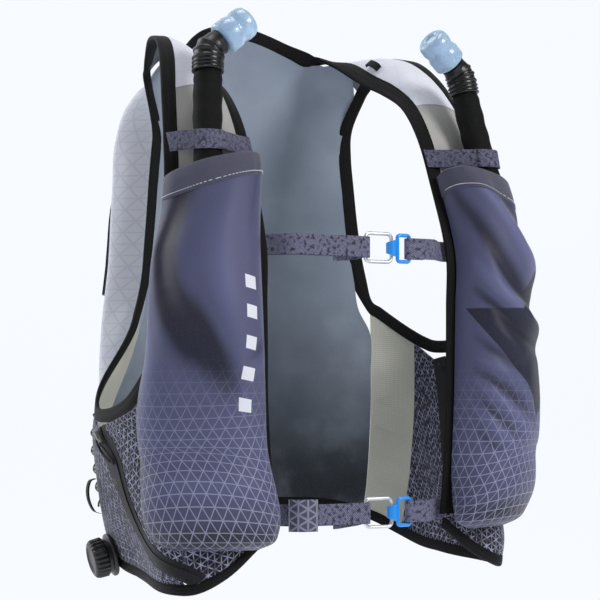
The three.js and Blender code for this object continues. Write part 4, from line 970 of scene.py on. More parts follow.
class Cloths:
    """The vest's materials, each made once."""

    def __init__(self) -> None:
        self.slate = {side: self.pocket(side) for side in Side}
        self.charcoal = self.hip()
        self.white = self.ripstop("white_ripstop", 0.016, 0.08)
        self.bag = self.ripstop("bag_ripstop", 0.0105, 0.22)
        self.grey = self.padding()
        self.strap_mesh = self.net("strap_mesh", "bab8b4", 0.0017, 0.4)
        self.side_mesh = self.net("side_mesh", "ccccbe", 0.0016, 0.3)
        self.tape = self.binding()
        self.webbing = self.heather("webbing", "6d6c85", 0.0011)
        self.elastic = self.heather("elastic", "4a4a5c", 0.0014)
        self.tab = self.printed_tab()
        self.zip = self.coil()
        self.sleeve = Paint("sleeve").cloth(
            ClothFinish("040405", 0.7, 0.0013, 0.0002, 0.0, 0.05, 0.02)).material
        self.cord = Paint("lace").cloth(ClothFinish("26262a", 0.7, 0.0007, 0.0002)).material
        self.film = Paint("film").hard(HardFinish("c9d6e2", 0.3, 0, 0.2, 0.5)).material
        self.rubber = Paint("rubber").hard(HardFinish("060607", 0.34, 0, 0.05)).material
        self.plastic = Paint("plastic").hard(HardFinish("09090b", 0.36, 0, 0.15)).material
        self.blue = Paint("blue").hard(HardFinish("1b93f0", 0.3, 0, 0.35)).material
        self.cap_blue = Paint("cap_blue").hard(HardFinish("2a6fb0", 0.35, 0, 0.2)).material
        self.steel = Paint("steel").hard(HardFinish("b4b3ae", 0.3, 1.0)).material
        self.alloy = Paint("alloy").hard(HardFinish("d9d9de", 0.28, 0.9)).material
        self.valve = Paint("valve").hard(HardFinish("c2e0fb", 0.24, 0, 0.3, 0.4, 0.4)).material
        self.core = Paint("valve_core").hard(HardFinish("3b6cc0", 0.3, 0, 0.3)).material
        self.thread = Paint("thread").cloth(ClothFinish("d9dae6", 0.7, 0.0004, 0.00003)).material
        self.elastic_slate = Paint("hem_knit").cloth(
            ClothFinish("4b4b5e", 0.6, 0.0009, 0.00012, 0.3, 0.15, 0.06)).material

    @staticmethod
    def pocket(side: Side) -> bpy.types.Material:
        """Slate knit: a net that grows in downwards and a plain reflective motif, with painted shade
        in the folds, painted highlight on the ridges and a foot darkened partly by painted shade.
        """
        p = Paint(f"slate_knit_{side.word}")
        g = p.g
        net = g.group(NET, Vector=p.uv, Cell=0.0088, Line=0.00036).outputs[0]
        low_part = g.ramp(p.z, -0.225, -0.32, 0.0, 1.0)
        # Darker towards the foot: partly the knit's own fade, partly painted shade under the pocket's
        # foot
        foot_fade_and_shade = g.ramp(p.z, -0.29, -0.38, 0.0, 1.0)
        base = g.mix(g.math("MULTIPLY", foot_fade_and_shade, 0.6), srgb("565878"), srgb("25252f"))
        upper = g.ramp(p.z, -0.2, -0.1, 0.0, 0.35)
        base = g.mix(upper, base, srgb("484a62"))
        # Painted shade in the folds and on the right pocket's outer side, and painted highlight on the
        # ridges, read from the stored fold attribute
        painted_fold_light = g.node("ShaderNodeAttribute", {"attribute_name": "crease"}).outputs["Fac"]
        base = g.mix(g.ramp(painted_fold_light, 0.5, 0.0, 0.0, 0.88), base, srgb("1f1f2b"))
        base = g.mix(g.ramp(painted_fold_light, 0.5, 1.0, 0.0, 0.5), base, srgb("7678a2"))
        color = g.mix(g.math("MULTIPLY", net, g.math("MULTIPLY", low_part, 0.55)), base,
                      srgb("b2b3d2"))
        if side is Side.RIGHT:
            step = g.math("FRACT", g.math("DIVIDE", p.v, 0.0215))
            lean = g.math("MULTIPLY_ADD", p.u, -9.0, step)
            dash = g.ramp(g.math("ABSOLUTE", g.math("SUBTRACT", lean, 0.62)), 0.2, 0.22, 1.0, 0.0)
            away = g.math("ABSOLUTE", g.math("SUBTRACT", p.u, -0.036))
            column = g.ramp(away, 0.0046, 0.005, 1.0, 0.0)
            rows = g.math("MULTIPLY", g.ramp(p.v, 0.104, 0.105), g.ramp(p.v, 0.212, 0.213, 1.0, 0.0))
            motif = g.math("MULTIPLY", g.math("MULTIPLY", dash, column), rows)
            color = g.mix(g.math("MULTIPLY", motif, 0.92), color, srgb("eceef6"))
        else:
            rise = g.math("MULTIPLY", g.math("MAXIMUM", g.math("ADD", p.u, 0.02), 0.0), 0.9)
            fall = g.math("MAXIMUM", g.math("MULTIPLY", p.u, -1.2), g.math("MULTIPLY", p.u, 0.5))
            motif = g.math("MULTIPLY", g.ramp(g.math("SUBTRACT", p.v, rise), 0.176, 0.177, 1.0, 0.0),
                           g.ramp(g.math("SUBTRACT", p.v, fall), 0.097, 0.098))
            color = g.mix(g.math("MULTIPLY", motif, 0.9), color, srgb("20212e"))
        finish = ClothFinish("5d5d76", 0.46, 0.0007, 0.00005, 0.12, 0.12, 0.04)
        return p.cloth(finish, color).material

    @staticmethod
    def hip() -> bpy.types.Material:
        """Charcoal knit with a bright triangle net."""
        p = Paint("charcoal_knit")
        g = p.g
        net = g.group(NET, Vector=p.uv, Cell=0.0058, Line=0.00042).outputs[0]
        worn = g.ramp(g.noise(p.object, 260, 2), 0.35, 0.62, 0.2, 1.0)
        color = g.mix(g.math("MULTIPLY", net, worn), srgb("14141c"), srgb("a6a7c4"))
        return p.cloth(ClothFinish("2a2b3a", 0.6, 0.0008, 0.00008, 0.2, 0.2, 0.06), color).material

    @staticmethod
    def ripstop(name: str, cell: float, strength: float) -> bpy.types.Material:
        """White coated cloth with faint triangle lines, a little light passing."""
        p = Paint(name)
        g = p.g
        net = g.group(NET, Vector=p.uv, Cell=cell, Line=0.00055).outputs[0]
        color = g.mix(g.math("MULTIPLY", net, strength), srgb("e2e4ee"), srgb("9a9cb0"))
        color = g.mix(g.math("GREATER_THAN", p.u, LINING_SHIFT / 2), color, srgb("7b848c"))
        p.cloth(ClothFinish("e6e8f0", 0.5, 0.0007, 0.00005, 0.1, 0.1, 0.02), color)
        g.feed(p.shader.inputs["Subsurface Weight"], 0.12)
        g.feed(p.shader.inputs["Subsurface Radius"], (0.004, 0.004, 0.005))
        return p.material

    @staticmethod
    def padding() -> bpy.types.Material:
        """Grey lining, paler above and near black at the foot, with soft clouds; the dark foot is
        partly the lining's own fade, partly painted shade inside the vest.
        """
        p = Paint("grey_padding")
        g = p.g
        cloud = g.noise(p.object, 9, 3)
        # Paler above, near black at the foot: partly the lining's own fade, partly painted shade
        # inside the vest
        level = g.math("MULTIPLY_ADD", g.math("SUBTRACT", cloud, 0.5), 0.16, p.z)
        fade_and_shade = g.ramp(level, -0.15, -0.35)
        color = g.mix(fade_and_shade, srgb("8b96a6"), srgb("30343a"))
        smoke = g.ramp(g.noise(p.object, 22, 4), 0.42, 0.75)
        color = g.mix(g.math("MULTIPLY", smoke, 0.3), color, srgb("a9b4c2"))
        return p.cloth(ClothFinish("6a7480", 0.55, 0.0016, 0.00012, 0.3, 0.25, 0.06),
                       color).material

    @staticmethod
    def net(name: str, base: str, cell: float, opening: float) -> bpy.types.Material:
        """Open mesh that shows what lies behind it."""
        p = Paint(name)
        thread = p.g.group(HEX, Vector=p.uv, Cell=cell, Open=opening).outputs[0]
        p.cloth(ClothFinish(base, 0.75, 0.0006, 0.00006, 0.2, 0.35, 0.05))
        return p.open_where(p.g.math("MULTIPLY_ADD", thread, 0.3, 0.66)).material

    @staticmethod
    def binding() -> bpy.types.Material:
        """Black folded tape: fine ribs along it and a row of black stitches."""
        p = Paint("black_tape")
        g = p.g
        rib = g.math("SINE", g.math("MULTIPLY", p.u, 6.2832 / 0.0009))
        seam = g.group(STITCH, Along=p.v, Across=g.math("ABSOLUTE", p.u), Line=0.0062,
                       Pitch=0.0034, Width=0.0007).outputs[0]
        color = g.mix(g.math("MULTIPLY", seam, 0.5), srgb("050506"), srgb("1c1c21"))
        p.cloth(ClothFinish("050506", 0.6, 0.0007, 0.00008, 0.0, 0.05, 0.02), color,
                g.math("MULTIPLY_ADD", rib, 0.2, seam))
        return p.material

    @staticmethod
    def heather(name: str, base: str, thread: float) -> bpy.types.Material:
        """Webbing of mixed light and dark threads in a twill."""
        p = Paint(name)
        g = p.g
        fleck = g.ramp(g.noise(p.uv, 900, 3), 0.3, 0.7, 0.1, 0.85)
        twill = g.math("SINE", g.math("MULTIPLY", g.math("ADD", p.u, p.v), 6.2832 / 0.0017))
        color = g.mix(fleck, srgb(base), srgb("9091b0"))
        color = g.mix(g.ramp(g.noise(p.uv, 330, 2), 0.48, 0.68), color, srgb("383848"))
        return p.cloth(ClothFinish(base, 0.8, thread, 0.00012, 0.1, 0.1, 0.05), color,
                       twill).material

    @staticmethod
    def printed_tab() -> bpy.types.Material:
        """Tab with a triangle print."""
        p = Paint("printed_tab")
        g = p.g
        net = g.group(NET, Vector=p.uv, Cell=0.008, Line=0.0008).outputs[0]
        color = g.mix(net, srgb("4d4d60"), srgb("8b8ba2"))
        return p.cloth(ClothFinish("55566a", 0.75, 0.001, 0.0001), color, net).material

    @staticmethod
    def coil() -> bpy.types.Material:
        """Zip: coil teeth in the middle, woven tape beside."""
        p = Paint("zip_tape")
        g = p.g
        middle = g.ramp(g.math("ABSOLUTE", p.u), 0.0018, 0.0022, 1.0, 0.0)
        teeth = g.math("SINE", g.math("MULTIPLY", p.v, 6.2832 / 0.0016))
        height = g.math("MULTIPLY", middle, teeth)
        color = g.mix(middle, srgb("15151a"), srgb("26262c"))
        return p.cloth(ClothFinish("15151a", 0.5, 0.0008, 0.0001, 0.2, 0.1, 0.05), color,
                       height).material


def share_grid(rows: int, cols: int) -> tuple[np.ndarray, np.ndarray]:
    """Row and column shares from 0 to 1 as broadcastable arrays."""
    return np.linspace(0, 1, rows)[:, None], np.linspace(0, 1, cols)[None, :]


@dataclass
class Tapes:
    """The black tapes round the neck, the armholes and the hem."""

    cloths: Cloths

    @staticmethod
    def section(frames: np.ndarray, width: float) -> Surface:
        """Folded tape along frames of edge, inward and outward vectors.

        The section is a slim loop, round at its fold and flat towards the cloth.

        Args:
            frames: array of shape (count, 3, 3).
            width: of the tape.

        Returns:
            The closed or open body's surface.
        """
        across = np.array([0, 0.25, 0.9, 2.2, 5, 7.8, 8.6, 9.4, 10, 10, 9.4, 5, 2, 0.8, 0.2])
        lift = np.array([1.1, 2.0, 2.65, 2.8, 2.75, 2.6, 2.2, 2.5, 2.2, 0.2, -0.3, -0.4, -0.4,
                         -0.2, 0.3])
        edge, inward, out = frames[:, None, 0], frames[:, None, 1], frames[:, None, 2]
        return edge + inward * (across * width / 10)[:, None] + out * lift[:, None]

    @staticmethod
    def strip_frames(side: Side, v: np.ndarray, outer: bool) -> np.ndarray:
        """Frames along an edge of the strip."""
        width = STRIP.width(v)
        w0 = np.ones_like(v) if outer else np.zeros_like(v)
        w1 = 1 - TAPE_WIDTH / width if outer else TAPE_WIDTH / width
        edge = STRIP.point(side, v, w0)
        inward = (STRIP.point(side, v, w1) - edge) / TAPE_WIDTH
        out = STRIP.point(side, v, w0, np.ones_like(v)) - edge
        return np.stack([edge, inward, out], 1)

    @staticmethod
    def ring_frames(side: Side, edge_line: np.ndarray, inner_line: np.ndarray,
                    width: float) -> np.ndarray:
        """Frames between two lines of girth and level on the ring."""
        edge = Body.ring(side, edge_line[:, 0], edge_line[:, 1])
        inward = (Body.ring(side, inner_line[:, 0], inner_line[:, 1]) - edge) / width
        out = Body.ring(side, edge_line[:, 0], edge_line[:, 1], 1.0) - edge
        return np.stack([edge, inward, out], 1)

    def build(self) -> None:
        """Makes the four tapes."""
        self.neck()
        self.hem()
        for side in Side:
            self.armhole(side)

    def neck(self) -> None:
        """Up one strip, over the back arch and down the other."""
        v = np.linspace(1.12, 13.88, 40)
        left = self.strip_frames(Side.LEFT, v, False)
        x = np.array([0.95, 0.72, 0.48, 0.24, 0])
        z = ARCH.read(x, "z") * NECK_ARCH
        edge = Body.back(x * 64, z)
        inward = (Body.back(x * 64, z - TAPE_WIDTH) - edge) / TAPE_WIDTH
        out = np.broadcast_to(vec(0, 1.15, 0), edge.shape)
        half = np.concatenate([left, np.stack([edge, inward, out], 1)])
        other = half[:-1][::-1] * vec(-1, 1, 1)
        frames = catmull(np.concatenate([half, other]), 460)
        place(Surface.loft(self.section(frames, TAPE_WIDTH)), "Neck_tape", self.cloths.tape,
              ("neck_binding",), "black_tape")

    def armhole(self, side: Side) -> None:
        """Down the strip's outer edge, under the arm and up the back."""
        line = under_arm(side)
        low_row = STRIP.row_at(line[0, 1] + 5, 1.0)
        front = self.strip_frames(side, np.linspace(13.88, low_row, 26), True)
        inner = beside(line, np.full(len(line), -TAPE_WIDTH))
        below = self.ring_frames(side, line, inner, TAPE_WIDTH)
        rows = np.array(BACK_EDGE[1:][::-1])
        x = rows[:, 0] * HALF_WIDTH
        edge = Body.back(x, rows[:, 1], TAPE_UNDER)
        inward = (Body.back(x - TAPE_WIDTH, rows[:, 1] - 2, TAPE_UNDER) - edge) / TAPE_WIDTH
        flip = vec(side.value, 1, 1)
        back = np.stack([edge * flip, inward * flip,
                         np.broadcast_to(vec(0, 1, 0), edge.shape)], 1)
        frames = catmull(np.concatenate([front, below, back]), 420, loop=True)
        place(Surface.loft(self.section(frames, TAPE_WIDTH), loop=True),
              f"Armhole_tape_{side.word}", self.cloths.tape, (f"armhole_binding_{side.word}",),
              "black_tape")

    def hem(self) -> None:
        """Round the lower edge from one front corner to the other."""
        parts = []
        for side in Side:
            girth = np.linspace(24, 180, 60)
            level = hem_level(side, girth)
            line = np.stack([girth, level], -1)
            parts.append(self.ring_frames(side, line, line + [0, HEM_TAPE], HEM_TAPE))
        frames = np.concatenate([parts[0], parts[1][:-1][::-1]])
        frames = catmull(frames, 420)
        place(Surface.loft(self.section(frames, HEM_TAPE)), "Hem_tape", self.cloths.tape,
              ("hem_binding",), "black_tape")


@dataclass
class Harness:
    """Chest mesh, white yokes and the padded back."""

    cloths: Cloths

    YOKE_FOLDS = (
        (0.1, 0.2, 0.9, 0.35, 1.3, 0.06), (0.15, 0.55, 0.8, 0.45, -1.0, 0.05),
        (0.2, 0.9, 0.95, 0.75, 1.2, 0.07),
    )

    def build(self) -> None:
        """Makes the strip's cloth on both sides and the back."""
        for side in Side:
            self.chest(side)
            self.yoke(side)
        self.back()

    @staticmethod
    def strip_cloth(side: Side, v: np.ndarray, margin: np.ndarray, cols: int,
                    bumps=None) -> tuple:
        """Outer and inner grids of strip cloth between its tapes."""
        width = STRIP.width(v)
        first = ((TAPE_WIDTH - 1) / width)[:, None]
        last = (1 - (margin - 1) / width)[:, None]
        share = np.linspace(0, 1, cols)[None]
        w = first + (last - first) * share
        rise = np.zeros_like(w) if bumps is None else bumps(share, v[:, None])
        row = np.broadcast_to(v[:, None], w.shape)
        return (STRIP.point(side, row, w, 1.9 + rise), STRIP.point(side, row, w, 0.6 + rise))

    def chest(self, side: Side) -> None:
        """Open mesh of the strap front."""
        top = under_arm(side)[0, 1]
        corner, opened = STRIP.row_at(top - 6, 1.0), STRIP.row_at(top - 24, 1.0)
        v = np.linspace(1.15, 8.97, 90)
        margin = 0.5 + (TAPE_WIDTH - 0.5) * np.clip((v - opened) / (corner - opened), 0, 1)
        outer, inner = self.strip_cloth(side, v, margin, 16)
        obj = place(Surface.slab(outer, inner), f"Chest_mesh_{side.word}",
                    self.cloths.strap_mesh, (f"chest_panel_{side.word}",), "strap_mesh")
        declare_sheet(obj, outer, ("Neck_tape", f"Armhole_tape_{side.word}"))

    def yoke(self, side: Side) -> None:
        """White shoulder cloth with a few soft folds."""
        v = np.linspace(8.98, 13.93, 70)

        def bumps(share, row):
            along = (row - 9) / 5
            edge = np.sin(np.pi * np.clip(share, 0, 1)) ** 0.6
            return (ridges(share, along, self.YOKE_FOLDS) + 0.5) * edge

        outer, inner = self.strip_cloth(side, v, np.full(len(v), TAPE_WIDTH), 26, bumps)
        obj = place(Surface.slab(outer, inner, True), f"Yoke_{side.word}", self.cloths.white,
                    (f"yoke_{side.word}",), "white_ripstop")
        declare_sheet(obj, outer, ("Neck_tape", f"Armhole_tape_{side.word}"))

    def back(self) -> None:
        """Padded back between the tapes, on the back surface."""
        down = [(101.5, -12.6)]
        down += [(x * HALF_WIDTH - TAPE_WIDTH + 0.8, z - 2) for x, z in BACK_EDGE[1:]]
        down += [(113.5, -188)]
        for z in (-210, -240, -270, -300, -330, -352):
            down.append((float(Body.ring(Side.LEFT, BACK_GIRTH, z)[0]), z))
        rows = catmull(np.array(down), 110)
        t = np.linspace(0, 1, len(rows))
        rows[:, 0] += 2.4 * np.exp(-(((t - 0.06) / 0.05) ** 2))
        share = np.linspace(-1, 1, 91)
        reach, seam = 101.5, 71.5
        x0 = np.abs(share) * reach
        arch = ARCH.read(np.minimum(x0 / 64, 0.95), "z") * NECK_ARCH - TAPE_WIDTH + 0.8
        across = (x0 - seam) / (reach - seam)
        slope = 9.4 + (-12.6 - 9.4) * across
        slope += SHOULDER_RISE * np.sin(np.pi * np.clip(across, 0, 1)) ** 0.8
        top = np.where(x0 < seam - 1, arch, slope)
        x = share[None] * rows[:, :1]
        flat = np.clip(np.abs(x[-1]) / float(Body.ring(Side.LEFT, 90, -352)[0]), 0, 1)
        girth = 180 - np.degrees(np.arcsin(flat ** (RING_POWER / 2)))
        foot = np.where(share < 0, hem_level(Side.RIGHT, girth, HEM_TAPE - 0.5),
                        hem_level(Side.LEFT, girth, HEM_TAPE - 0.5))
        z = rows[:, 1:] + (top - rows[0, 1])[None] * ((1 - t) ** 2)[:, None]
        z = z + (foot - rows[-1, 1])[None] * smooth((t - 0.8) / 0.2)[:, None]
        puff = 0.7 * ripple(np.stack([x, z, 0 * x], -1), 30.0, 3)
        outer = Body.back(x, z, PADDING - 0.2 + puff * 0.3)
        inner = Body.back(x, z, 0.35 - np.abs(puff))
        obj = place(Surface.slab(outer, inner), "Back_padding", self.cloths.grey,
                    ("back_panel",), "grey_padding")


@dataclass
class Bag:
    """The white bag on the back and its closed zip."""

    cloths: Cloths
    half: float = 110.0
    depth: float = 57.0
    top: float = 6.0
    bottom: float = -338.0

    FOLDS = (
        (0.2, 0.3, 0.45, 0.16, 2.2, 0.05), (0.85, 0.32, 0.6, 0.2, 2.0, 0.05),
        (0.1, 0.62, 0.35, 0.7, 1.8, 0.04), (0.9, 0.6, 0.7, 0.72, 1.6, 0.04),
        (0.35, 0.9, 0.6, 0.82, -1.6, 0.04), (0.12, 0.45, 0.2, 0.2, -1.5, 0.04),
    )

    def point(self, rise, turn, inset=0.0, detail: bool = True) -> np.ndarray:
        """Point of the bag: half a superellipse across, by share of its height."""
        rise, turn = np.broadcast_arrays(np.asarray(rise, float), np.asarray(turn, float))
        z = self.bottom + inset + (self.top - self.bottom - 2 * inset) * rise
        width = self.half * BAG.read(rise, "width") - inset
        depth = np.maximum(0, self.depth * BAG.read(rise, "depth") - inset)
        cosine, sine = np.cos(turn * np.pi), np.sin(turn * np.pi)
        x = -np.sign(cosine) * width * np.abs(cosine) ** 0.8
        out = depth * np.clip(sine, 0, 1) ** 0.62
        if detail:
            out = out + ridges(turn, rise, self.FOLDS) * np.clip(sine, 0, 1) ** 0.5 * (
                depth / self.depth)
        y = Body.back(x, z)[..., 1] + PADDING + GAP + SLACK + out
        return np.stack([x, y, z], -1)

    def build(self) -> None:
        """Makes the bag and its zip."""
        lower = np.linspace(0, 0.1, 16, endpoint=False) ** 1.5 / 0.1**0.5
        rise = np.concatenate([lower, np.linspace(0.1, 0.9, 60), 1 - lower[::-1]])[:, None]
        turn = np.linspace(0, 1, 110)[None]
        turn = turn - 0.06 * np.sin(2 * np.pi * turn) / 2
        outer, inner = self.point(rise, turn), self.point(rise, turn, 1.6)
        obj = place(Surface.slab(outer, inner), "Bag", self.cloths.bag, ("pack_bag",),
                    "white_ripstop")
        declare_sheet(obj, outer, ("Back_padding",))
        self.zip()

    def zip(self) -> None:
        """Coil zip in an arch over the bag's upper half."""
        s = np.linspace(0, 1, 180)
        turn = 0.13 + 0.74 * s
        rise = 0.46 + 0.4 * np.clip(np.sin(s * np.pi), 0, 1) ** 0.45
        centre = self.point(rise, turn)
        du = self.point(rise, turn + 0.01) - self.point(rise, turn - 0.01)
        dv = self.point(rise + 0.01, turn) - self.point(rise - 0.01, turn)
        out = unit(np.cross(dv, du))
        out = np.where(out[:, 1:2] < 0, -out, out)
        along = unit(np.gradient(centre, axis=0))
        across = unit(np.cross(out, along))
        a = np.array([-4, -3.6, -2, -1.9, 1.9, 2, 3.6, 4, 3.6, -3.6])
        h = np.array([0.5, 0.9, 1.0, 2.2, 2.2, 1.0, 0.9, 0.5, 0.3, 0.3])
        sections = centre[:, None] + across[:, None] * a[:, None] + out[:, None] * h[:, None]
        place(Surface.loft(sections), "Bag_zip", self.cloths.zip, ("pack_zip",), "zip_tape")


@dataclass
class FlaskPocket:
    """One chest pocket with its flask, straw, valve and elastic loop."""

    cloths: Cloths
    side: Side

    FOLDS = {
        Side.RIGHT: (
            (0.64, 0.99, 0.62, 0.7, -5.5, 0.085), (0.66, 0.8, 0.4, 0.42, -6.5, 0.06),
            (0.92, 0.86, 0.62, 0.4, 5.5, 0.06), (0.45, 0.92, 0.4, 0.6, 3.0, 0.07),
            (0.9, 0.66, 0.8, 0.34, -3.6, 0.07), (0.12, 0.56, 0.3, 0.49, -2.2, 0.025),
            (0.12, 0.5, 0.26, 0.44, 2.0, 0.025), (0.1, 0.045, 0.9, 0.02, -4.5, 0.03),
            (0.3, 0.99, 0.26, 0.86, -1.6, 0.03), (0.9, 0.24, 0.7, 0.14, -2.6, 0.04),
            (0.3, 0.13, 0.7, 0.11, 2.2, 0.03), (0.1, 0.36, 0.24, 0.3, -1.8, 0.025),
        ),
        Side.LEFT: (
            (0.1, 0.94, 0.62, 0.6, -5.0, 0.045), (0.1, 0.8, 0.6, 0.56, 5.0, 0.035),
            (0.1, 0.73, 0.52, 0.54, -4.5, 0.03), (0.1, 0.64, 0.4, 0.52, 3.0, 0.025),
            (0.3, 0.98, 0.76, 0.64, 5.0, 0.04), (0.46, 0.97, 0.86, 0.68, -4.0, 0.035),
            (0.1, 0.57, 0.4, 0.46, -3.0, 0.025), (0.1, 0.5, 0.3, 0.45, 2.6, 0.02),
            (0.1, 0.46, 0.46, 0.33, -3.6, 0.025), (0.1, 0.42, 0.42, 0.29, 3.4, 0.022),
            (0.1, 0.37, 0.38, 0.26, -3.2, 0.02), (0.1, 0.33, 0.34, 0.23, 3.0, 0.02),
            (0.1, 0.28, 0.3, 0.19, -2.6, 0.02), (0.1, 0.05, 0.9, 0.02, -4.0, 0.028),
        ),
    }

    @property
    def word(self) -> str:
        """Lower-case name of the side."""
        return self.side.word

    def raised(self, v: np.ndarray) -> np.ndarray:
        """Rows that the left pocket's foot sits higher."""
        return (0.24 if self.side is Side.LEFT else 0.0) * np.maximum(0, (2.2 - v) / 1.6)

    def point(self, v, turn, inset=0.0) -> np.ndarray:
        """Point of the pocket over the strip, swelling past the rim at its middle."""
        v, turn = np.broadcast_arrays(np.asarray(v, float), np.asarray(turn, float))
        start, end = POCKET.read(v, "start"), POCKET.read(v, "end")
        share = POCKET.read(v, "depth")
        width = STRIP.width(v)
        half = (end - start) / 2 - inset / width
        angle = turn * np.pi
        cosine, sine = np.cos(angle), np.clip(np.sin(angle), 0, 1)
        swell = 1 + 0.06 * sine**2 * np.minimum(1, share)
        outer = smooth((turn - 0.42) / 0.5)
        w = (start + end) / 2 - np.sign(cosine) * half * np.abs(cosine) ** 0.72 * swell
        lean = 1 - LEAN.read(v, "share") * outer
        depth = np.maximum(0, POCKET_DEPTH * share * lean - inset)
        depth = depth + self.folds(v, turn) * sine**0.5 * np.minimum(1, share * 1.3)
        tuck = np.clip((1.6 - v) / 0.8, 0, 1)
        shift = self.raised(v)
        lift = 3.8 + 4.5 * tuck + depth * sine**0.72
        return STRIP.point(self.side, v + shift, w, lift)

    def folds(self, v, turn) -> np.ndarray:
        """Heights of the folds, in mm."""
        return ridges(turn, (v - 0.62) / 6.48, self.FOLDS[self.side])

    def crease(self, obj: bpy.types.Object, v: np.ndarray, turn: np.ndarray) -> None:
        """Stores painted shade and highlight for each point: 0.5 is level, 0 deep in a fold, 1 on a
        ridge, lower on the right pocket's shaded outer side.
        """
        level = 0.5 + self.folds(v, turn) / FOLD_SHADE_DEPTH
        # Painted shade on the pocket's outer side, which faces away from the light
        outer = smooth((turn - 0.5) / 0.4) * OUTER_PAINTED_SHADE[self.side]
        level = np.clip(level - outer, 0, 1).ravel()
        layer = obj.data.attributes.new("crease", "FLOAT", "POINT")
        layer.data.foreach_set("value", np.concatenate([level, level]).astype(np.float32))

    def build(self) -> None:
        """Makes the pocket and all it holds."""
        self.cloth()
        self.flask()
        self.straw()
        self.loop()

    def cloth(self) -> None:
        """Stretch cloth with a doubled, stitched hem at its mouth."""
        low_rows = 0.62 + 0.9 * np.linspace(0, 1, 26, endpoint=False) ** 1.8
        v = np.concatenate([low_rows, np.linspace(1.52, 7.1, 120)])[:, None]
        turn = np.linspace(0, 1, 96)[None]
        turn = turn - 0.05 * np.sin(2 * np.pi * turn)
        outer, inner = self.point(v, turn), self.point(v, turn, 1.5)
        surface = Surface.slab(outer, inner)
        obj = place(surface, f"Pocket_{self.word}", self.cloths.slate[self.side],
                    (f"flask_pocket_{self.word}",), "slate_knit")
        self.crease(obj, *np.broadcast_arrays(v, turn))
        declare_sheet(obj, outer, ("Neck_tape", f"Armhole_tape_{self.word}"))
        self.hem(turn)

    def hem(self, turn: np.ndarray) -> None:
        """Doubled band round the mouth and its row of white stitches."""
        v = np.array([6.78, 6.79, 6.95, 7.1, 7.125, 7.12, 7.0])[:, None]
        inset = np.array([0.1, -0.55, -0.6, -0.6, 0.3, 1.9, 2.0])[:, None]
        band = self.point(v, turn, inset)
        sections = np.swapaxes(band, 0, 1)
        place(Surface.loft(sections), f"Pocket_hem_{self.word}", self.cloths.elastic_slate,
              (), "slate_knit")
        t = np.linspace(0.04, 0.96, HEM_STITCHES)
        pieces = []
        for a in t:
            span = np.linspace(a, a + 0.55 * (t[1] - t[0]), 5)
            path = self.point(np.full(5, 6.83), span, -0.75)
            path[[0, -1]] = self.point(np.full(2, 6.83), span[[0, -1]], -0.3)
            pieces.append(tube(path, 0.28, 6))
        place(pieces[0].joined(*pieces[1:]), f"Pocket_stitches_{self.word}", self.cloths.thread,
              (), "slate_knit")

    def flask(self) -> None:
        """Soft flask with a screw cap, down inside the pocket."""
        rows = np.array([(1.4, 0.5), (1.52, 0.76), (1.85, 0.93), (2.6, 1), (4, 0.98),
                         (4.8, 0.94), (5.4, 0.84), (5.9, 0.6), (6.1, 0.42)])
        rows = catmull(rows, 50)
        v, size = rows[:, 0], rows[:, 1][:, None, None]
        v = v + self.raised(v - 0.2)
        lift = np.full_like(v, FLASK_LIFT)
        middle = 0.44 + 0.06 * smooth((v - 4) / 2)
        centre = STRIP.point(self.side, v, middle, lift)
        out = unit(STRIP.point(self.side, v, middle, middle * 20) - STRIP.point(self.side, v, middle))
        across = unit(STRIP.point(self.side, v, middle + 0.05)
                      - STRIP.point(self.side, v, middle - 0.05))
        a = np.linspace(0, 2 * np.pi, 40, endpoint=False)
        c, s = np.cos(a)[None, :, None], np.sin(a)[None, :, None]
        wide = np.sign(c) * np.abs(c) ** 0.8 * FLASK_HALF[0] * size
        thick = np.sign(s) * np.abs(s) ** 0.8 * FLASK_HALF[1] * size
        sections = centre[:, None] + across[:, None] * wide + out[:, None] * thick
        place(Surface.loft(sections), f"Flask_{self.word}", self.cloths.film,
              (f"flask_{self.word}",), "flask_film")
        steps = [(12, 0), (13, 1.2, 0), (13, 1.4, 1), (13, 15, 1), (13, 15.4, 0), (11, 19), (10, 20)]
        place(turned(self.cap_foot(), vec(0, 0, 1), steps, 96, (24, 0.8)), f"Cap_{self.word}",
              self.cloths.cap_blue, (f"flask_cap_{self.word}",), "blue_plastic")

    def cap_foot(self) -> np.ndarray:
        """Foot of the screw cap."""
        place_ = (np.array(FLASK_TOP), np.array(0.5), np.array(FLASK_LIFT))
        return STRIP.point(self.side, *place_) + vec(0, 0, 2.3)

